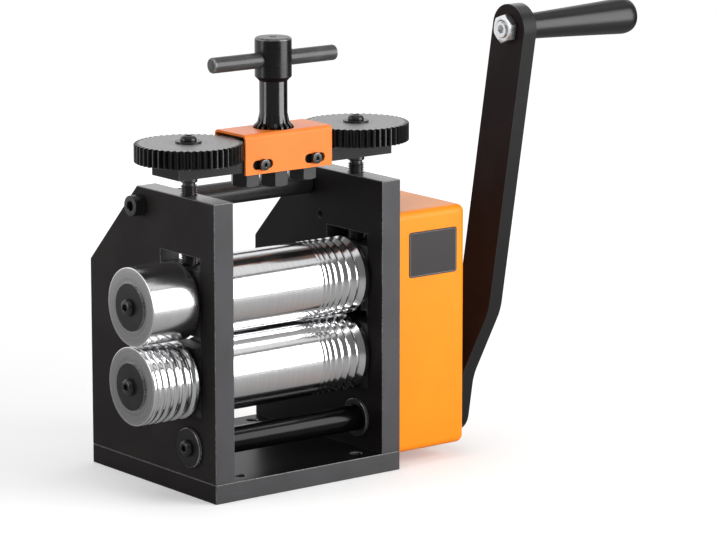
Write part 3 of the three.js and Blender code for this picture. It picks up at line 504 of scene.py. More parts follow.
lower_axis = axis_place("lower_roll_turn")
upper_axis = axis_place("upper_roll_turn")
shaft_axis = axis_place("crank_turn")
cover_screw_places = [across("cover_screw_1"), across("cover_screw_2")]
for side, name in sides:
    low, high = limits(name + "_side_plate")
    inner, outer = (low.x, high.x) if side > 0 else (high.x, low.x)
    ends = (low.x - 1, high.x + 1)
    middle = (low.x + high.x) / 2
    slope = ((high.y, high.z - rear_chamfer[1]), (high.y - rear_chamfer[0], high.z))
    plate = slab([(low.y, low.z), (high.y, low.z), *slope, (low.y, high.z)], low.x, high.x)
    window_front = lower_axis.y - window_width / 2
    window = cuboid(*ends, window_front, window_front + window_width, window_floor, window_top)
    plate = eased(cut(plate, window), 0.45, mark=3)
    plate = cut(
        plate,
        drill(adjusting_screw / 2 + 0.3, window_top - 2, high.z + 1, (middle, lower_axis.y, 0)),
        drill(m8_hole, *ends, tie_bar_place, "X"),
        drill(bush_barrel / 2 + 0.3, *ends, shaft_axis, "X"),
        countersink(table_hole / 2, inner, inner + side * 8, table_hole_place),
    )
    for y in (low.y + screw_inset, high.y - screw_inset):
        plate = cut(plate, drill(m6_hole, low.z - 1, 31, (middle, y, 0)))
    if side > 0:
        for hole in cover_screw_places:
            plate = cut(plate, drill(m6_hole, outer - 11, outer + 1, hole, "X"))
    fit(plate, name + "_plate", "frame", plate_edge, name + "_side_plate",
        others=[plate_face, plate_inside_painted_shade, rubbed_and_highlit_corner],
        pick=lambda face: (face.normal.x * side > 0.95) + 2 * (face.normal.x * side < -0.95))


# Bearing blocks: dark cast iron, milled on every face and bored for the roll journals. The
# lower pair stands on the windows' floors. A T-slot in the upper pair holds the screws' feet.
journal, screw_foot, screw_neck = 24, 12, 7
block_play = 0.3
foot_bottom = limits("left_adjusting_screw")[0].z
foot_top = foot_bottom + 3.2
block_iron = Finish("block_iron", metallic=0.55, specular_ior_level=0.4)
milling = block_iron.noise((0.5, 18, 0.5), 4)
casting = block_iron.noise(5, 4)
block_iron.look(
    block_iron.blend(casting.between(0.3, 0.75), (0.030, 0.030, 0.032), (0.085, 0.084, 0.086)),
    0.42 + milling.between(0.3, 0.7) * 0.18, milling * 0.6 + casting * 0.4, 0.02,
)
for height, body, axis in (("lower", "frame", lower_axis), ("upper", "lift", upper_axis)):
    for _, side_name in sides:
        name = f"{side_name}_{height}"
        low, high = limits(name + "_bearing_block")
        ends = (low.x - 1, high.x + 1)
        block = eased(cuboid(low.x, high.x, low.y, high.y, low.z, high.z), 0.6)
        if height == "upper":
            for width, bottom, top in (
                (screw_neck, foot_top, high.z + 1),
                (screw_foot, foot_bottom - block_play, foot_top + block_play),
            ):
                half = width / 2 + block_play
                block = cut(block, cuboid(*ends, axis.y - half, axis.y + half, bottom, top))
        block = cut(block, drill(journal / 2 + block_play, *ends, axis, "X", 72))
        fit(block, name + "_block", body, block_iron, name + "_bearing_block")


# Shaft bushes: turned steel, pressed into the side plates from inside, with a flange against
# the plate. They are blackened, with the flange's rim rubbed bright and painted brighter as a highlight.
def turning_marks(finish, centre, along, spacing):
    """The fine rings that a lathe leaves, on faces across the axis as well as round it."""
    flattening = [letter != along for letter in "XYZ"]
    place = finish.measured((1, 1, 1), centre)
    flat = finish.node("ShaderNodeVectorMath", {"operation": "MULTIPLY"}, {0: place, 1: flattening})
    height = finish.along(place, along)
    pair = finish.node("ShaderNodeCombineXYZ", {}, {0: finish.length(flat), 1: height})
    rings = {"Vector": pair, "Scale": 1 / spacing, "Detail": 4, "Roughness": 0.65}
    return finish.node("ShaderNodeTexNoise", {}, rings)


def black_oxide(name, tone, shine, centre=None, along="Z", gloss=0.5):
    """Steel with a thin black oxide, a little oily, rubbed lighter where it was machined finest."""
    steel = Finish(name, specular_ior_level=gloss)
    fine = steel.noise(0.35) if centre is None else turning_marks(steel, centre, along, 0.35)
    cloud = steel.noise(9, 4)
    share = cloud.between(0.3, 0.8) * 0.6 + fine.between(0.45, 0.8) * 0.4
    colour = steel.blend(share, times((0.8, 0.78, 0.8), tone), times((1.7, 1.66, 1.7), tone))
    roughness = shine + fine.between(0.3, 0.7) * 0.08 + cloud.between(0.4, 0.8) * 0.05
    steel.look(colour, roughness, fine, 0.004)
    return steel


def on_rim(face):
    """Whether a face of a piece turned along X lies round the axis."""
    return abs(face.normal.x) < 0.9


bush_oxide = black_oxide("bush_oxide", 0.008, 0.24, shaft_axis, "X")
# The bush's round faces: rubbed wear and a painted highlight along the rim.
bush_rim = worn_and_highlit_edge("bush_rim", 0.28)
shaft_hole = 8.3
for side, name in sides:
    low, high = limits(name + "_shaft_bush")
    flange, barrel, bore = (high.y - low.y) / 2, bush_barrel / 2, shaft_hole
    inner, outer = (low.x, high.x) if side > 0 else (high.x, low.x)
    ease = 0.4
    bush = turned([
        (bore, inner + ease * side), (bore + ease, inner), (flange - ease, inner),
        (flange, inner + ease * side), (flange, inner + 2 * side), (barrel, inner + 2 * side),
        (barrel, outer - ease * side), (barrel - ease, outer), (bore + ease, outer),
        (bore, outer - ease * side), (bore, inner + ease * side),
    ], shaft_axis, "X", 72)
    fit(bush, name + "_bush", "frame", bush_oxide, name + "_shaft_bush",
        others=[bush_rim], pick=on_rim)


# Tie bar: 14 mm round bar, turned square at both ends, blackened and held between the side
# plates by an M8 cap screw at each end.
bar_oxide = black_oxide("bar_oxide", 0.036, 0.30, tie_bar_place, "X")
# The bridge bar's rounded edges: rubbed wear and a painted highlight.
oxide_edge = worn_and_highlit_edge("oxide_edge", 0.10)


def round_bar(radius, start, end, centre, ease=0.6):
    """A round bar along X with its ends chamfered by ease."""
    return turned(
        [(0, start), (radius - ease, start), (radius, start + ease), (radius, end - ease),
         (radius - ease, end), (0, end)], centre, "X", 96,
    )


half = tie_bar_high.x
bar = round_bar((tie_bar_high.y - tie_bar_low.y) / 2, -half, half, tie_bar_place)
for side, _ in sides:
    start, end = sorted((side * (half - 17), side * (half + 1)))
    bar = cut(bar, drill(m8_hole, start, end, tie_bar_place, "X"))
fit(bar, "tie_bar_stock", "frame", bar_oxide, "tie_bar")

screw_oxide = black_oxide("screw_oxide", 0.016, 0.22)


def hexagon(flats, start, end, centre=(0, 0, 0), along="X"):
    return drill(flats / math.sqrt(3), start, end, centre, along, 6)


def socket_screw(head, head_height, shank, length, flats, round_top=False):
    """A hexagon socket screw along X: its seat is at the origin and its head on the +X side."""
    radius = head / 2
    if round_top:
        crown = head * 0.27
        arc = [math.radians(15 * step) for step in range(7)]
        rim = [
            (crown + (radius - crown) * math.cos(a), head_height * (0.28 + 0.72 * math.sin(a)))
            for a in arc
        ]
        deep = head_height * 0.62
    else:
        rim = [(radius, head_height - 0.6), (radius - 0.18, head_height - 0.18), (radius - 0.6, head_height)]
        deep = head_height * 0.55
    profile = [
        (0, -length), (shank / 2 - 0.7, -length), (shank / 2, -length + 0.7), (shank / 2, 0),
        (radius - 0.25, 0), (radius, 0.25), *rim, (0, head_height),
    ]
    screw = turned(profile, (0, 0, 0), "X", 72)
    if not round_top:
        for vert in screw.verts:
            off_axis = math.hypot(vert.co.y, vert.co.z)
            around = round(math.degrees(math.atan2(vert.co.z, vert.co.y)) / 5)
            if 0.1 < vert.co.x < head_height - 0.5 and off_axis > radius * 0.98 and around % 2:
                vert.co.yz *= 1 - 0.16 / radius
    below, above = head_height - 0.3, head_height + 0.3
    mouth = turned([(0, below), (flats / 2, below), (flats / 2 + 0.9, above), (0, above)], (0, 0, 0), "X", 48)
    return cut(cut(screw, hexagon(flats, head_height - deep, head_height + 1)), mouth)


def button_screw(length=13.5, head=10.5, head_height=3.3):
    """An M6 button screw of the given length under its head."""
    return socket_screw(head, head_height, 6, length, 4, round_top=True)


facing = {
    "+X": Matrix.Identity(4),
    "-X": Matrix.Rotation(math.pi, 4, "Z"),
    "+Y": Matrix.Rotation(math.pi / 2, 4, "Z"),
    "-Y": Matrix.Rotation(-math.pi / 2, 4, "Z"),
    "+Z": Matrix.Rotation(-math.pi / 2, 4, "Y"),
}


def seated(place, way="+X"):
    """The shift and turn that put a screw's seat at a place, with its head on the given side."""
    return Matrix.Translation(place) @ facing[way]


for side, name in sides:
    seat = seated((plate_outer * side, tie_bar_place.y, tie_bar_place.z), "+X" if side > 0 else "-X")
    fit(socket_screw(13, 8, 8, 30, 6), name + "_bar_screw", "frame", screw_oxide,
        name + "_tie_bar_screw", seat)


# Base screws: four countersunk M6 socket screws, let in flush under the base, which pull
# the side plates down.
for number in (1, 2, 3, 4):
    node = f"base_screw_{number}"
    low, high = limits(node)
    centre = ((low.x + high.x) / 2, (low.y + high.y) / 2, 0)
    screw = turned(
        [(0, low.z), (5.9, low.z), (6.0, low.z + 0.1), (3, low.z + 3), (3, high.z - 0.7), (2.3, high.z),
         (0, high.z)], centre, "Z", 48,
    )
    screw = cut(screw, hexagon(4, low.z - 1, low.z + 2.4, centre, "Z"))
    fit(screw, f"plate_screw_{number}", "frame", screw_oxide, node)


# Gear cover: 1.6 mm steel drawn into an open box with rounded corners, powder coated orange.
# Two long button screws hold it against the right side plate, over the gear train.
def powder_coat(name, colour, deep):
    """Orange powder coat: a semi-gloss skin with a faint orange peel."""
    coat = Finish(name, specular_ior_level=0.25, coat_roughness=0.36)
    peel = coat.noise(1.1, 2)
    cloud = coat.noise(42)
    tone = coat.blend(cloud.between(0.35, 0.75), colour, deep)
    coat.look(tone, 0.36 + peel.between(0.3, 0.7) * 0.06, peel, 0.010)
    coat.set("Coat Weight", coat.facing("Z") * 0.7)
    return coat


cover_paint = powder_coat("cover_paint", (1.0, 0.285, 0.003), (0.97, 0.262, 0.002))
cover_low, cover_high = limits("gear_cover")
sheet, cover_corner = 1.6, 5


def cover_box(inset):
    open_side = cover_low.x - (1 if inset else 0)
    box = cuboid(
        open_side, cover_high.x - inset, cover_low.y + inset, cover_high.y - inset,
        cover_low.z + inset, cover_high.z - inset,
    )
    corner_edges = [e for e in box.edges if any(v.co.x > cover_low.x + 5 for v in e.verts)]
    round_edges(box, corner_edges, cover_corner - inset, 8)
    return box


cover = cut(cover_box(0), cover_box(sheet))
for radius, place, ease in (*((m6_hole, place, 0.2) for place in cover_screw_places), (9.5, shaft_axis, 0.3)):
    cover = cut(cover, countersink(radius, cover_high.x, cover_high.x - 4, place, ease))
fit(cover, "drive_cover", "frame", cover_paint, "gear_cover")

for number, place in enumerate(cover_screw_places, 1):
    screw = button_screw(cover_high.x - plate_outer + 10)
    seat = seated((cover_high.x, place.y, place.z))
    fit(screw, f"long_screw_{number}", "frame", screw_oxide, f"cover_screw_{number}", seat)


# Data plate: thin black anodised aluminium with a scribed border, bare, stuck on the front
# of the cover.
label_face = Finish("data_plate_black", specular_ior_level=0.5)
satin = label_face.noise(0.25).between(0.3, 0.7)
label_face.set("Base Color", label_face.blend(satin, (0.013, 0.010, 0.010), (0.022, 0.018, 0.018)))
label_face.set("Roughness", 0.40 + satin * 0.08)
plate_border = Finish("data_plate_border", metallic=0.8)
scratches = plate_border.noise(0.6)
plate_border.set("Base Color", plate_border.blend(scratches, (0.16, 0.15, 0.15), (0.30, 0.29, 0.29)))
plate_border.set("Roughness", 0.35 + plate_border.noise(0.4) * 0.1)
data_plate = cuboid(77.8, 115.0, cover_low.y - 0.4, cover_low.y - 0.02, 119.9, 148.3)
round_edges(data_plate, edges_along(data_plate, "y"), 1.6, 6)
front_faces = [f for f in data_plate.faces if f.calc_center_median().y < cover_low.y - 0.3]
bmesh.ops.inset_region(data_plate, faces=front_faces, thickness=0.7)
front_faces = [f for f in front_faces if f.is_valid]
rim = bmesh.ops.inset_region(data_plate, faces=front_faces, thickness=0.22, depth=-0.05)["faces"]
for face in rim:
    face.material_index = 1
fit(data_plate, "data_plate", "frame", label_face, None, others=[plate_border])


# Bridge bar: 28 by 8 mm flat bar, blackened, across both adjusting screws. It carries the
# gears, the handle and the guard, and the screws lift all of it with the upper roll.
bar_low, bar_high = limits("bridge_bar")
bridge_steel = black_oxide("bridge_steel", 0.013, 0.40, gloss=0.25)
# The bar's end faces take a darker finish: painted shade, as the left end faces away from the lamps.
bar_end_painted_shade = black_oxide("bar_end_painted_shade", 0.007, 0.45, gloss=0.25)
guard_screw_places = [limits(f"{name}_front_guard_screw") for _, name in sides]
guard_screw_xs = [(low.x + high.x) / 2 for low, high in guard_screw_places]
guard_screw_z = across("left_front_guard_screw").z
idler_low, idler_high = limits("right_idler_bolt")
idler_x = (idler_low.x + idler_high.x) / 2
screw_journal = 8.5
wheel_hole = screw_journal / 2 + 0.3
lift_y = upper_axis.y
lift_centre = (0, lift_y, 0)

bridge = cuboid(bar_low.x, bar_high.x, bar_low.y, bar_high.y, bar_low.z, bar_high.z)
for radius, places in ((m10_hole, (-idler_x, 0, idler_x)), (wheel_hole, (-screw_x, screw_x))):
    for x in places:
        bridge = cut(bridge, drill(radius, bar_low.z - 1, bar_high.z + 1, (x, lift_y, 0)))
for x in guard_screw_xs:
    for start, end in ((bar_low.y - 1, bar_low.y + 7), (bar_high.y - 7, bar_high.y + 1)):
        bridge = cut(bridge, drill(2.3, start, end, (x, 0, guard_screw_z), "Y", 32))
bridge = eased(bridge, 0.6, mark=1)


def shaded_bar_end(face):
    """2 on the bar's two ends, which take a darker finish as painted shade, 0 elsewhere."""
    return 2 * (abs(face.normal.x) > 0.95 and abs(face.calc_center_median().x) > bar_high.x - 0.1)


fit(bridge, "bridge", "lift", bridge_steel, "bridge_bar", others=[oxide_edge, bar_end_painted_shade],
    pick=shaded_bar_end)


# Pinion guard: 1.6 mm steel bent into an arch over the middle gears and powder coated. Two
# low cap screws in front and two behind hold it through slots, so that it can be shifted.
guard_low, guard_high = limits("pinion_guard")
guard_paint = powder_coat("guard_paint", (1.0, 0.240, 0.030), (0.98, 0.220, 0.025))
slot_length, slot_height = 15, 5.6
pinion_hole = 12.5


def bent_box(x0, x1, inset, bend):
    """A block whose two upper long edges are rounded as the sheet's bends are."""
    box = cuboid(x0, x1, guard_low.y + inset, guard_high.y - inset, guard_low.z - (2 if inset else 0),
                 guard_high.z - inset)
    bends = [e for e in edges_along(box, "x") if all(v.co.z > guard_low.z + 5 for v in e.verts)]
    round_edges(box, bends, bend, 8)
    return box


guard = cut(
    bent_box(guard_low.x, guard_high.x, 0, 3),
    bent_box(guard_low.x - 1, guard_high.x + 1, sheet, 3 - sheet),
)
for x in guard_screw_xs:
    slot = cuboid(x - slot_length / 2, x + slot_length / 2, guard_low.y - 1, guard_high.y + 1,
                  guard_screw_z - slot_height / 2, guard_screw_z + slot_height / 2)
    round_edges(slot, edges_along(slot, "y"), slot_height / 2 - 0.01, 10)
    guard = cut(guard, slot)
guard = cut(guard, drill(pinion_hole, guard_high.z - 5, guard_high.z + 1, lift_centre, "Z", 96))
fit(eased(guard, 0.25), "gear_guard", "lift", guard_paint, "pinion_guard")

# The guard screws' chamfers: rubbed wear and a painted highlight ring.
rubbed_and_highlit_rim = worn_and_highlit_edge("rubbed_and_highlit_rim", 0.16)
for row, way, y in (("front", "-Y", guard_low.y), ("rear", "+Y", guard_high.y)):
    for (_, name), x in zip(sides, guard_screw_xs):
        fit(socket_screw(7, 2.8, 4, 8, 2.5), f"{name}_{row}_cap", "lift", screw_oxide,
            f"{name}_{row}_guard_screw", seated((x, y, guard_screw_z), way),
            others=[rubbed_and_highlit_rim], pick=lambda face: 0.3 < abs(face.normal.y) < 0.95)


# Hexagon bolts: M10, blackened, pushed up through the bridge bar. The idler gears and the
# T-handle turn on their shanks.
bolt_oxide = black_oxide("bolt_oxide", 0.034, 0.30, gloss=0.4)
m10_flats = 16
m10_corner = m10_flats / math.sqrt(3)
for name, node, body in (
    ("left_idler_axle", "left_idler_bolt", "lift"), ("right_idler_axle", "right_idler_bolt", "lift"),
    ("handle_axle", "handle_bolt", "handle"),
):
    low, high = limits(node)
    head_top = bar_low.z - 0.3
    centre = ((low.x + high.x) / 2, lift_y, 0)
    crown = turned(
        [(0, low.z), (m10_flats / 2 - 0.3, low.z), (m10_corner + 0.1, low.z + 0.9),
         (m10_corner + 0.1, head_top - 0.5), (m10_corner - 0.6, head_top), (0, head_top)],
        centre, "Z", 96,
    )
    head = cut(hexagon(m10_flats, low.z, head_top, centre, "Z"), crown, operation="INTERSECT")
    head = eased(head, 0.25)
    shank = turned(
        [(0, low.z + 1), (5, low.z + 1), (5, high.z - 0.8), (4.2, high.z), (0, high.z)], centre, "Z", 48,
    )
    fit(cut(head, shank, operation="UNION"), name, body, bolt_oxide, node)


# Lift gears: cut from blackened steel discs, with their faces turned and their teeth left
# sharp. The handle's pinion turns two small idlers, and these the two wheels on the screws.
pinion_teeth, idler_teeth, wheel_teeth = 18, 16, 50
lift_module = screw_x / (pinion_teeth / 2 + idler_teeth + wheel_teeth / 2)
lift_slack = 0.2


def gear(teeth, module, tip, root, slack, turn, start, end, centre, along, bore=0, ease=0.5):
    """A spur gear: one involute tooth, repeated round the axis, filled and carried along it."""
    pitch = teeth * module / 2
    pressure = math.radians(20)
    base_circle = pitch * math.cos(pressure)

    def half_angle(radius):
        rolled = math.acos(min(1, base_circle / max(radius, base_circle)))
        width = math.pi / (2 * teeth) - slack / (2 * pitch)
        return width + math.tan(pressure) - pressure - math.tan(rolled) + rolled

    radii = [root + (tip - root) * step / 5 for step in range(6)]
    flank = [(radius, -half_angle(radius)) for radius in radii]
    tooth = flank + [(radius, -angle) for radius, angle in reversed(flank)]
    tooth.append((root, flank[0][1] + 2 * math.pi / teeth))
    first, second, axis = {
        "X": (Vector((0, 1, 0)), Vector((0, 0, 1)), Vector((1, 0, 0))),
        "Z": (Vector((1, 0, 0)), Vector((0, 1, 0)), Vector((0, 0, 1))),
    }[along]
    foot = Vector(centre) + axis * start
    shape = bmesh.new()
    line = chained(shape, [
        foot + radius * (first * math.cos(turn + angle) + second * math.sin(turn + angle))
        for radius, angle in tooth
    ])
    full = 2 * math.pi
    bmesh.ops.spin(shape, geom=line, cent=centre, axis=axis, angle=full, steps=teeth, use_duplicate=True)
    bmesh.ops.remove_doubles(shape, verts=shape.verts, dist=1e-3)
    bmesh.ops.edgeloop_fill(shape, edges=shape.edges)
    rim = tip + 0.05
    blank = turned(
        [(0, start), (tip - ease, start), (rim, start + ease), (rim, end - ease), (tip - ease, end),
         (0, end)], centre, along, 120,
    )
    shape = cut(carried(shape, axis * (end - start)), blank, operation="INTERSECT")
    if bore:
        shape = cut(shape, drill(bore, start - 1, end + 1, centre, along, 64))
    return shape


def meshed_turn(turn, teeth, other_teeth, direction):
    """The turn that brings a second gear into mesh with one whose teeth stand at turn."""
    phase = (direction - turn) * teeth / (2 * math.pi)
    return direction + math.pi - 2 * math.pi / other_teeth * (0.5 - phase)


def wheel_face(name, centre):
    """A face that was turned on a lathe: a satin grey with fine rings round its centre."""
    steel = Finish(name, metallic=0.75)
    rings = turning_marks(steel, centre, "Z", 0.42)
    broad = turning_marks(steel, centre, "Z", 2.4)
    share = rings.between(0.3, 0.7) * 0.6 + broad.between(0.35, 0.65) * 0.4
    colour = steel.blend(share, (0.26, 0.26, 0.26), (0.46, 0.46, 0.46))
    steel.look(colour, 0.36 + rings.between(0.3, 0.7) * 0.12, rings, 0.012)
    return steel


tooth_oxide = black_oxide("tooth_oxide", 0.008, 0.18, gloss=0.55)
gear_low, gear_high = limits("left_adjusting_gear")
for side, name in sides:
    direction = 0 if side > 0 else math.pi
    idler_turn = meshed_turn(0, pinion_teeth, idler_teeth, direction)
    wheel_turn = meshed_turn(idler_turn, idler_teeth, wheel_teeth, direction)
    for kind, body, node, teeth, turn, x, bore in (
        ("idler", "idler", "idler_gear", idler_teeth, idler_turn, side * idler_x, m10_hole),
        ("wheel", "screw", "adjusting_gear", wheel_teeth, wheel_turn, side * screw_x, wheel_hole),
    ):
        tip, root = (teeth / 2 + 1) * lift_module, (teeth / 2 - 1.25) * lift_module
        centre = (x, lift_y, 0)
        wheel = gear(teeth, lift_module, tip, root, lift_slack, turn, gear_low.z, gear_high.z, centre,
                     "Z", bore)
        fit(wheel, f"{name}_{kind}", f"{name}_{body}", tooth_oxide, f"{name}_{node}",
            others=[wheel_face(f"{name}_{kind}_face", centre)], pick=lambda face: abs(face.normal.z) > 0.9)


# Adjusting screws: M10, rolled thread, blackened. Each has a foot held in the bearing
# block's T-slot, a waist where the thread ends, and a collar that the bridge bar rests on.
thread_pitch, thread_depth = 1.5, 0.85
waist_bottom, collar_bottom = bar_low.z - 5.8, bar_low.z - 4.1


def threaded(start, end, centre, steps=32):
    """An M10 threaded rod along Z: one ridge wound up the rod, cut square and closed at both ends."""
    radius = adjusting_screw / 2
    core = radius - thread_depth
    centre = Vector(centre)
    shape = bmesh.new()
    crest = radius - 0.08
    ridge = [(core, 0), (crest, 0.42), (radius, 0.46), (radius, 0.54), (crest, 0.58), (core, 1)]
    bottom = start - thread_pitch * 1.5
    line = chained(shape, [centre + Vector((r, 0, bottom + thread_pitch * place)) for r, place in ridge])
    turns = math.ceil((end - start) / thread_pitch) + 2
    bmesh.ops.spin(shape, geom=line, cent=centre, axis=(0, 0, 1), dvec=(0, 0, thread_pitch / steps),
                   angle=2 * math.pi * turns, steps=steps * turns)
    bmesh.ops.remove_doubles(shape, verts=shape.verts, dist=1e-3)
    for place, way in ((start, -1), (end, 1)):
        everything = [*shape.verts, *shape.edges, *shape.faces]
        bmesh.ops.bisect_plane(
            shape, geom=everything, plane_co=(0, 0, place), plane_no=(0, 0, way), clear_outer=True,
        )
    bmesh.ops.holes_fill(shape, edges=[e for e in shape.edges if e.is_boundary], sides=0)
    bmesh.ops.recalc_face_normals(shape, faces=shape.faces)
    return shape


thread_oxide = black_oxide("thread_oxide", 0.030, 0.12, gloss=1.0)
foot, neck, body, journal_radius = screw_foot / 2, screw_neck / 2, adjusting_screw / 2, screw_journal / 2
waist, collar = 3.85, 5.25
thread_start, thread_join = foot_top + 3.6, foot_top + 3.8
collar_top = bar_low.z - 0.3
for side, name in sides:
    centre = (side * screw_x, lift_y, 0)
    low, high = limits(f"{name}_adjusting_screw")
    lower = turned(
        [(0, low.z), (foot - 0.4, low.z), (foot, low.z + 0.4), (foot, foot_top), (neck, foot_top),
         (neck, thread_start - 0.3), (body - thread_depth, thread_join), (0, thread_join)],
        centre, "Z", 64,
    )
    upper = turned(
        [(0, waist_bottom - 0.2), (waist, waist_bottom - 0.2), (waist, collar_bottom - 0.3),
         (collar - 0.5, collar_bottom), (collar, collar_bottom + 0.5), (collar, collar_top - 0.4),
         (collar - 0.4, collar_top), (journal_radius, collar_top), (journal_radius, high.z), (0, high.z)],
        centre, "Z", 64,
    )
    screw = cut(threaded(thread_start, waist_bottom, centre), lower, upper, operation="UNION")
    screw = cut(screw, drill(m6_hole, high.z - 14, high.z + 1, centre))
    fit(screw, f"{name}_screw_rod", f"{name}_screw", thread_oxide, f"{name}_adjusting_screw")

    low, high = limits(f"{name}_gear_washer")
    radius = (high.x - low.x) / 2
    washer = turned(
        [(m6_hole, low.z), (radius, low.z), (radius, high.z - 0.25), (radius - 0.25, high.z),
         (m6_hole + 0.3, high.z), (m6_hole, high.z - 0.3), (m6_hole, low.z)],
        centre, "Z", 64,
    )
    fit(washer, f"{name}_wheel_washer", f"{name}_screw", screw_oxide, f"{name}_gear_washer")
    fit(button_screw(head=10, head_height=3.1), f"{name}_wheel_screw", f"{name}_screw", screw_oxide,
        f"{name}_gear_screw", seated((centre[0], lift_y, high.z), "+Z"))


# T-handle: one turned piece, with the pinion's teeth hobbed on its lower end and running out
# in the flare above them, a straight neck and a thicker head. The cross bar is a push fit.
handle_low, handle_high = limits("pinion_handle")
guard_clear = guard_high.z + 1.5
neck_start = guard_clear + 7.5
neck, head = 17.2 / 2, 22.6 / 2
head_start, head_end = handle_high.z - 26, handle_high.z
cross_low, cross_high = limits("cross_bar")
cross_z = (cross_low.z + cross_high.z) / 2
cross_radius = (cross_high.z - cross_low.z) / 2
handle_oxide = black_oxide("handle_oxide", 0.003, 0.10, lift_centre, "Z", 0.85)
head_oxide = black_oxide("head_oxide", 0.007, 0.21, lift_centre, "Z", 0.42)
# The handle's top edge and the cross bar's chamfers: rubbed wear and a painted highlight.
head_rub_and_highlight = worn_and_highlit_edge("head_rub_and_highlight", 0.20)
neck_oxide = black_oxide("neck_oxide", 0.005, 0.45, lift_centre, "Z", 0.08)

tip, root = (pinion_teeth / 2 + 1) * lift_module - 0.6, (pinion_teeth / 2 - 1.25) * lift_module - 0.7
pinion = gear(
    pinion_teeth, lift_module, tip, root, lift_slack, 0, handle_low.z, neck_start + 1, lift_centre, "Z",
    ease=0.4,
)
run_out = turned(
    [(0, handle_low.z - 1), (tip + 1, handle_low.z - 1), (tip + 1, guard_clear - 0.8),
     (tip - 0.3, guard_clear), (neck + 1.25, guard_clear + 1.7), (neck + 0.7, guard_clear + 4),
     (neck, neck_start), (neck - 0.5, neck_start + 0.5), (0, neck_start + 0.5)],
    lift_centre, "Z", 96,
)
stem = turned(
    [(0, neck_start - 0.8), (neck, neck_start - 0.8), (neck, head_start - 0.6), (neck + 0.5, head_start),
     (head - 0.6, head_start + 1.6), (head, head_start + 2.2), (head, head_end - 1.3),
     (head - 0.5, head_end - 0.5), (head - 1.3, head_end), (2.4, head_end), (2.0, head_end - 0.5),
     (0, head_end - 3)],
    lift_centre, "Z", 96,
)
handle = cut(cut(pinion, run_out, operation="INTERSECT"), stem, operation="UNION")
handle = cut(
    handle,
    drill(m10_hole, handle_low.z - 1, gear_high.z + 2.3, lift_centre),
    drill(cross_radius + 0.15, -head - 1, head + 1, (0, lift_y, cross_z), "X", 64),
)


def handle_part(face):
    """1 on the head, 2 on its rubbed top edge, painted brighter as a highlight, 3 on the chamfer under it, 0
    elsewhere.
    """
    height = face.calc_center_median().z
    under_head = abs(height - head_start) < 2 and face.normal.z < -0.1
    top_edge = height > head_end - 1 and 0.2 < face.normal.z < 0.95
    return (height > head_start + 2) + top_edge + 3 * under_head


fit(handle, "t_handle", "handle", handle_oxide, "pinion_handle",
    others=[head_oxide, head_rub_and_highlight, neck_oxide], pick=handle_part)

cross_oxide = black_oxide("cross_oxide", 0.046, 0.24, gloss=0.5)
half = cross_high.x
cross = turned(
    [(0, -half), (cross_radius - 1, -half), (cross_radius - 0.3, -half + 0.35), (cross_radius, -half + 1.1),
     (cross_radius, half - 1.1), (cross_radius - 0.3, half - 0.35), (cross_radius - 1, half), (0, half)],
    (0, lift_y, cross_z), "X", 72,
)
fit(cross, "handle_bar", "handle", cross_oxide, "cross_bar", others=[head_rub_and_highlight],
    pick=lambda face: 0.2 < abs(face.normal.x) < 0.95)


# Rolls: hardened steel, ground and polished to a mirror, in one piece with their journals and
# shafts. Seven V grooves for square wire are cut at the right end, the widest outermost.
roll_low, roll_high = limits("upper_side_roller")
roll_radius = (roll_high.z - roll_low.z) / 2
roll_end = plates_apart / 2 - 0.6
rolls = (("upper", "upper_roll", upper_axis), ("lower", "lower_roll", lower_axis))


def mirror_steel(name, centre, shine=0.135):
    """Hardened steel polished to a mirror, with the finest rings left in the polish."""
    steel = Finish(name, metallic=1.0)
    rings = turning_marks(steel, centre, "X", 0.22)
    broad = turning_marks(steel, centre, "X", 2.2)
    colour = steel.blend(broad.between(0.3, 0.7), (0.83, 0.83, 0.84), (0.90, 0.90, 0.905))
    steel.look(colour, shine + rings.between(0.35, 0.75) * 0.02, rings, 0.0004)
    return steel


def satin_end(name, centre):
    """A ground end face: bright steel with rings round its centre."""
    steel = Finish(name, metallic=1.0)
    rings = turning_marks(steel, centre, "X", 0.35)
    broad = turning_marks(steel, centre, "X", 3.0)
    share = rings.between(0.3, 0.7) * 0.5 + broad.between(0.35, 0.65) * 0.5
    colour = steel.blend(share, (0.30, 0.30, 0.305), (0.50, 0.50, 0.505))
    steel.look(colour, 0.20 + rings.between(0.3, 0.7) * 0.10, rings, 0.05)
    return steel


def on_end(face):
    """Whether a face of a piece turned along X lies across the axis."""
    return abs(face.normal.x) > 0.95


groove_count, smallest_groove, groove_step = 7, 1.6, 0.7
groove_land, groove_end_land, groove_corner = 1.1, 3.4, 0.12
grooves = []
place = roll_end - groove_end_land
for number in reversed(range(groove_count)):
    width = smallest_groove + groove_step * number
    bottom, middle = roll_radius - width / 2 + 0.1, place - width / 2
    grooves = [
        (roll_radius, place - width - groove_corner), (roll_radius - groove_corner, place - width),
        (bottom, middle - 0.1), (bottom, middle + 0.1),
        (roll_radius - groove_corner, place), (roll_radius, place + groove_corner),
    ] + grooves
    place -= width + groove_land

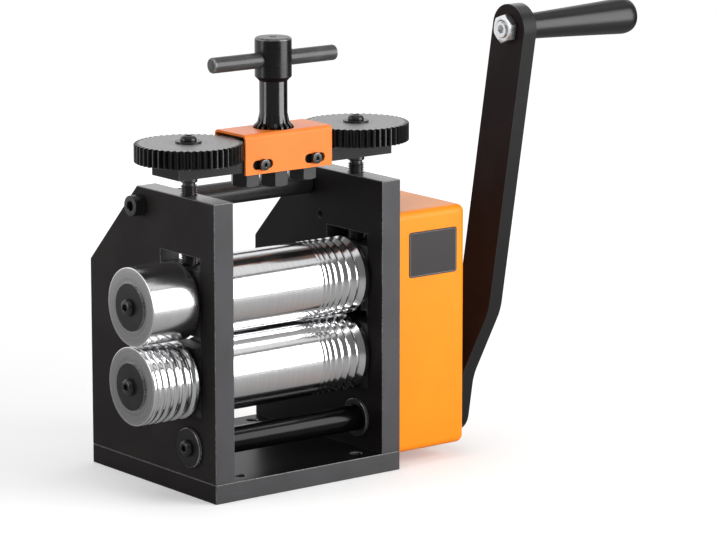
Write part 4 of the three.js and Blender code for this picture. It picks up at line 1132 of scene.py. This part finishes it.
shaft, journal_radius, journal_end = 10, journal / 2, plate_outer + 2.2
roll_ends = {}
for name, body, axis in rolls:
    low, high = limits(f"{name}_roll")
    mirror = mirror_steel(f"{name}_mirror", axis)
    roll_ends[name] = satin_end(f"{name}_ground_end", axis)
    profile = [
        (0, low.x), (shaft - 0.8, low.x), (shaft, low.x + 0.8), (shaft, -journal_end),
        (journal_radius - 0.5, -journal_end), (journal_radius, -journal_end + 0.5),
        (journal_radius, -roll_end), (roll_radius - 0.5, -roll_end), (roll_radius, -roll_end + 0.5),
        *grooves, (roll_radius, roll_end - 0.4), (roll_radius - 0.4, roll_end), (journal_radius, roll_end),
        (journal_radius, journal_end - 0.5), (journal_radius - 0.5, journal_end), (shaft, journal_end),
        (shaft, high.x - 0.8), (shaft - 0.8, high.x), (0, high.x),
    ]
    roll = cut(turned(profile, axis, "X", 144), drill(m6_hole, low.x - 1, low.x + 14, axis, "X"))
    fit(roll, f"{name}_main_roll", body, mirror, f"{name}_roll",
        others=[roll_ends[name]], pick=on_end)


# Side rollers: rings of the same steel on the rolls' left ends, outside the frame. The upper
# one is plain, and the lower one has six half-round grooves that grow towards the frame.
half_round_count, smallest_half_round, half_round_step = 6, 1.1, 0.37
roller_hole = 10.3
roller_shine = {"upper": 0.20, "lower": 0.13}
for name, body, axis in rolls:
    low, high = limits(f"{name}_side_roller")
    wall = []
    if name == "lower":
        radii = [smallest_half_round + half_round_step * number for number in range(half_round_count)]
        land = (high.x - low.x - 2 * sum(radii)) / (half_round_count + 1)
        place = low.x + land
        for radius in radii:
            wall.append((roll_radius, place - 0.12))
            for step in range(13):
                turn = math.radians(min(max(step * 15, 8), 172))
                wall.append((roll_radius - radius * math.sin(turn), place + radius - radius * math.cos(turn)))
            wall.append((roll_radius, place + 2 * radius + 0.12))
            place += 2 * radius + land
    roller = turned([
        (roller_hole, low.x + 0.5), (roller_hole + 0.5, low.x), (roll_radius - 0.7, low.x),
        (roll_radius - 0.15, low.x + 0.2), (roll_radius, low.x + 0.7), *wall, (roll_radius, high.x - 0.7),
        (roll_radius - 0.7, high.x), (roller_hole + 0.5, high.x), (roller_hole, high.x - 0.5),
        (roller_hole, low.x + 0.5),
    ], axis, "X", 144)
    roller_steel = mirror_steel(f"{name}_roller_steel", axis, roller_shine[name])
    fit(roller, f"{name}_end_roller", body, roller_steel, f"{name}_side_roller",
        others=[roll_ends[name]], pick=on_end)


# Keeper discs: blackened washers, each held on a roll's end by a button screw, that keep
# the side rollers on their shafts.
# The rims of the keeper discs and the shaft washer: rubbed wear and a painted highlight.
disc_rim = worn_and_highlit_edge("disc_rim", 0.35)
for name, body, axis in rolls:
    low, high = limits(f"{name}_keeper_disc")
    radius = (high.y - low.y) / 2
    disc_oxide = black_oxide(f"{name}_disc_oxide", 0.011, 0.28, axis, "X", 0.4)
    disc = turned(
        [(m6_hole, low.x + 0.3), (m6_hole + 0.3, low.x), (radius - 0.4, low.x), (radius - 0.1, low.x + 0.1),
         (radius, low.x + 0.4), (radius, high.x), (m6_hole, high.x), (m6_hole, low.x + 0.3)],
        axis, "X", 96,
    )
    fit(disc, f"{name}_disc", body, disc_oxide, f"{name}_keeper_disc",
        others=[disc_rim], pick=on_rim)
    fit(button_screw(), f"{name}_disc_screw", body, screw_oxide, f"{name}_keeper_screw",
        seated((low.x, axis.y, axis.z), "-X"))


# Gear train under the cover: two long-toothed gears couple the rolls, and a 40-tooth wheel
# on the lower one is driven by the 16-tooth pinion on the drive shaft. Oiled, bright steel.
roll_gear_teeth, drive_teeth, reduction_teeth = 12, 16, 40
roll_gear_module = (upper_axis.z - lower_axis.z) / roll_gear_teeth
roll_gear_tip, roll_gear_root, roll_gear_slack = 28.3, 18.9, 0.9
drive_module, drive_slack = 1.5, 0.25


def cut_steel(name, centre):
    """Bright steel as the cutter left it, under a film of oil."""
    steel = Finish(name, metallic=1.0, coat_roughness=0.08, coat_weight=0.3)
    rings = turning_marks(steel, centre, "X", 0.6)
    oil = steel.noise(6)
    colour = steel.blend(oil.between(0.3, 0.75), (0.42, 0.42, 0.42), (0.58, 0.57, 0.55))
    steel.look(colour, 0.24 + rings.between(0.3, 0.7) * 0.14, rings, 0.008)
    return steel


upright = math.pi / 2
roll_gear_turns = {
    "lower": upright, "upper": meshed_turn(upright, roll_gear_teeth, roll_gear_teeth, upright),
}
for name, body, axis in rolls:
    low, high = limits(f"{name}_roll_gear")
    wheel = gear(roll_gear_teeth, roll_gear_module, roll_gear_tip, roll_gear_root, roll_gear_slack,
                 roll_gear_turns[name], low.x, high.x, axis, "X", roller_hole)
    fit(wheel, f"{name}_coupling_gear", body, cut_steel(f"{name}_gear_steel", axis),
        f"{name}_roll_gear")

drive_way = math.atan2(lower_axis.z - shaft_axis.z, lower_axis.y - shaft_axis.y)
for name, node, body, teeth, turn, axis, bore in (
    ("drive_wheel", "reduction_gear", "lower_roll", reduction_teeth,
     meshed_turn(drive_way, drive_teeth, reduction_teeth, drive_way), lower_axis, roller_hole),
    ("shaft_pinion", "drive_pinion", "crank", drive_teeth, drive_way, shaft_axis, shaft_hole),
):
    low, high = limits(node)
    pitch = teeth * drive_module / 2
    wheel = gear(teeth, drive_module, pitch + drive_module, pitch - drive_module * 1.25, drive_slack, turn,
                 low.x, high.x, axis, "X", bore)
    fit(wheel, name, body, cut_steel(f"{name}_steel", axis), node)


# Drive shaft: 16 mm blackened steel with a 12 mm square for the crank on its right end. A
# washer and a button screw on its left end keep it from sliding.
lean = math.radians(10.2)
crank_frame = Matrix.Translation(shaft_axis) @ Matrix.Rotation(lean, 4, "X")
shaft_oxide = black_oxide("shaft_oxide", 0.003, 0.12, shaft_axis, "X", 0.20)

shaft_low, shaft_high = limits("drive_shaft")
arm_low, arm_high = limits("crank_arm")
square, shaft_radius = 12, 8
origin = (0, 0, 0)
shoulder = arm_low.x - 0.3
rod = round_bar(shaft_radius, shaft_low.x, shoulder, origin)
tang = eased(cuboid(shoulder - 4, shaft_high.x, -square / 2, square / 2, -square / 2, square / 2), 0.5)
rod = cut(rod, tang, operation="UNION")
rod = cut(
    rod, drill(m6_hole, shaft_low.x - 1, shaft_low.x + 14, origin, "X"),
    drill(m6_hole, shaft_high.x - 16, shaft_high.x + 1, origin, "X"),
)
fit(rod, "drive_rod", "crank", shaft_oxide, "drive_shaft", crank_frame)

low, high = limits("shaft_washer")
radius = (high.z - low.z) / 2
washer_oxide = black_oxide("washer_oxide", 0.008, 0.30, shaft_axis, "X", 0.35)
washer = turned(
    [(m6_hole, low.x + 0.3), (m6_hole + 0.3, low.x), (radius - 0.4, low.x), (radius, low.x + 0.4),
     (radius, high.x), (m6_hole, high.x), (m6_hole, low.x + 0.3)],
    origin, "X", 96,
)
fit(washer, "rod_washer", "crank", washer_oxide, "shaft_washer", crank_frame,
    others=[disc_rim], pick=on_rim)
fit(button_screw(), "rod_screw", "crank", screw_oxide, "shaft_screw",
    crank_frame @ seated((low.x, 0, 0), "-X"))


# Crank arm: 30 by 10 mm flat bar, rounded at both ends and set over by a double bend, so
# that it clears the cover. A broached square fits the shaft, and a washer-faced screw holds it.
crank_reach = 245
arm_width, arm_thickness = 30, 10
bend_start, bend_end, bend_round = 22, 64, 5
hub_in, hub_out = arm_low.x, arm_low.x + arm_thickness
arm_in, arm_out = arm_high.x - arm_thickness, arm_high.x
arm_edge = ground_edge("arm_edge", (0.0075, 0.0072, 0.0075), (0.4, 0.4, 24), (lean, 0, 0))
# The arm's wide faces are nearly black with a red cast: the red is a painted reflection of the orange cover.
arm_face_painted_reflection = blackened_face("arm_face_painted_reflection", (0.0125, 0.0068, 0.0070))
# The arm's rounded corners are much lighter than its edges: a painted highlight along them.
arm_corner_painted_highlight = ground_edge("arm_corner_painted_highlight", (0.055, 0.054, 0.055), (0.4, 0.4, 24), (lean, 0, 0))

half = arm_width / 2
low_end, high_end = -half - 5, crank_reach + half
arm = slab(
    [(hub_in, low_end), (hub_out, low_end), (hub_out, bend_start), (arm_out, bend_end), (arm_out, high_end),
     (arm_in, high_end), (arm_in, bend_end), (hub_in, bend_start)],
    -half, half, "Y",
)
bends = [e for e in edges_along(arm, "y") if bend_start - 1 < e.verts[0].co.z < bend_end + 1]
round_edges(arm, bends, bend_round, 6)
outline = cuboid(hub_in - 1, arm_out + 1, -half, half, low_end, high_end)
round_edges(outline, edges_along(outline, "x"), half - 0.01, 24)
arm = eased(cut(arm, outline, operation="INTERSECT"), 0.9, 3, 35, mark=2)
square_half = square / 2 + 0.3
reach = (0, 0, crank_reach)
arm = cut(
    arm, cuboid(hub_in - 1, hub_out + 1, -square_half, square_half, -square_half, square_half),
    drill(m10_hole, arm_in - 1, arm_out + 1, reach, "X"),
)
fit(arm, "crank_bar", "crank", arm_edge, "crank_arm", crank_frame,
    others=[arm_face_painted_reflection, arm_corner_painted_highlight], pick=lambda face: abs(face.normal.x) > 0.6)

low, high = limits("hub_screw")
washer_in, washer_out = hub_out + 0.1, hub_out + 2.0
hub_screw = turned(
    [(0, washer_in), (8.6, washer_in), (9, washer_in + 0.4), (9, washer_out - 0.4), (8.6, washer_out),
     (0, washer_out)], origin, "X", 72,
)
button = button_screw(15, head_height=high.x - washer_out)
bmesh.ops.translate(button, vec=(washer_out, 0, 0), verts=button.verts)
hub_screw = cut(hub_screw, button, operation="UNION")
fit(hub_screw, "arm_screw", "crank", screw_oxide, "hub_screw", crank_frame)


# Grip bolt and nut: M10, bright zinc plated. The bolt runs through the grip with its head
# sunk in the grip's end and a small socket in its tip. The nut locks it on the arm.
zinc = Finish("zinc", metallic=1.0)
crystals = zinc.noise(0.8, 4)
cloud = zinc.noise(5)
zinc.look(
    zinc.blend(crystals.between(0.3, 0.75), (0.80, 0.81, 0.83), (0.93, 0.94, 0.96)),
    0.24 + crystals.between(0.35, 0.75) * 0.08 + cloud.between(0.4, 0.7) * 0.05, crystals, 0.004,
)
bolt_low, bolt_high = limits("grip_bolt")
grip_low, grip_high = limits("crank_grip")
nut_low, nut_high = limits("grip_nut")
bolt_head, bolt_thread, tip_socket = 8, 4.5, 5
bolt_seat = bolt_high.x - bolt_head
bolt = socket_screw(16, bolt_head, 10, bolt_seat - bolt_low.x - bolt_thread, 8)
bmesh.ops.translate(bolt, vec=(bolt_seat, 0, 0), verts=bolt.verts)
tip = threaded(0, bolt_thread + 0.7, origin)
lying = Matrix.Translation((bolt_low.x, 0, 0)) @ Matrix.Rotation(math.pi / 2, 4, "Y")
bmesh.ops.transform(tip, matrix=lying, verts=tip.verts)
bolt = cut(bolt, tip, operation="UNION")
bolt = cut(bolt, hexagon(tip_socket, bolt_low.x - 1, bolt_low.x + 3))
bmesh.ops.translate(bolt, vec=reach, verts=bolt.verts)
fit(bolt, "grip_axle", "crank", zinc, "grip_bolt", crank_frame)

crown = turned(
    [(0, nut_low.x), (m10_flats / 2 - 0.4, nut_low.x), (m10_corner + 0.1, nut_low.x + 1.0),
     (m10_corner + 0.1, nut_high.x - 1.0), (m10_flats / 2 - 0.4, nut_high.x), (0, nut_high.x)],
    reach, "X", 96,
)
nut = cut(hexagon(m10_flats, nut_low.x, nut_high.x, reach), crown, operation="INTERSECT")
nut = cut(nut, countersink(m10_hole, nut_low.x, nut_high.x + 1, reach, 0.5))
fit(nut, "grip_lock_nut", "crank", zinc, "grip_nut", crank_frame)


# Grip: black phenolic moulding, slender at the arm and swelling to a rounded end, polished.
# It spins freely on its bolt.
grip_moulding = Finish("grip_moulding", specular_ior_level=0.5)
flow = grip_moulding.noise((30, 3, 3))
dust = grip_moulding.noise(0.6)
grip_moulding.look(
    grip_moulding.blend(flow.between(0.3, 0.75), (0.0016, 0.0016, 0.0018), (0.0040, 0.0040, 0.0043)),
    0.30 + dust.between(0.45, 0.8) * 0.06 + flow.between(0.3, 0.7) * 0.03, flow * 0.5 + dust * 0.5, 0.012,
)
slim, widest = 15.5 / 2, 22.5 / 2
swell_start, swell_end = grip_low.x + 1, grip_high.x - 7
shares = [step / 24 for step in range(25)]
swell = [
    (slim + (widest - slim) * share ** 1.15, swell_start + (swell_end - swell_start) * share)
    for share in shares
]
end_round = [
    (widest - 2.4 + 2.4 * math.cos(math.radians(a)), swell_end + 7 * math.sin(math.radians(a)))
    for a in range(10, 81, 10)
]
counterbore = 8.3
seat_x = bolt_seat - 0.3
grip = turned([
    (m10_hole, grip_low.x + 0.4), (m10_hole + 0.4, grip_low.x), (slim - 1, grip_low.x),
    (slim - 0.3, grip_low.x + 0.3), *swell, *end_round, (counterbore + 0.4, grip_high.x),
    (counterbore, grip_high.x - 0.4), (counterbore, seat_x), (m10_hole, seat_x), (m10_hole, grip_low.x + 0.4),
], reach, "X", 112)
fit(grip, "grip_moulded", "grip", grip_moulding, "crank_grip", crank_frame)
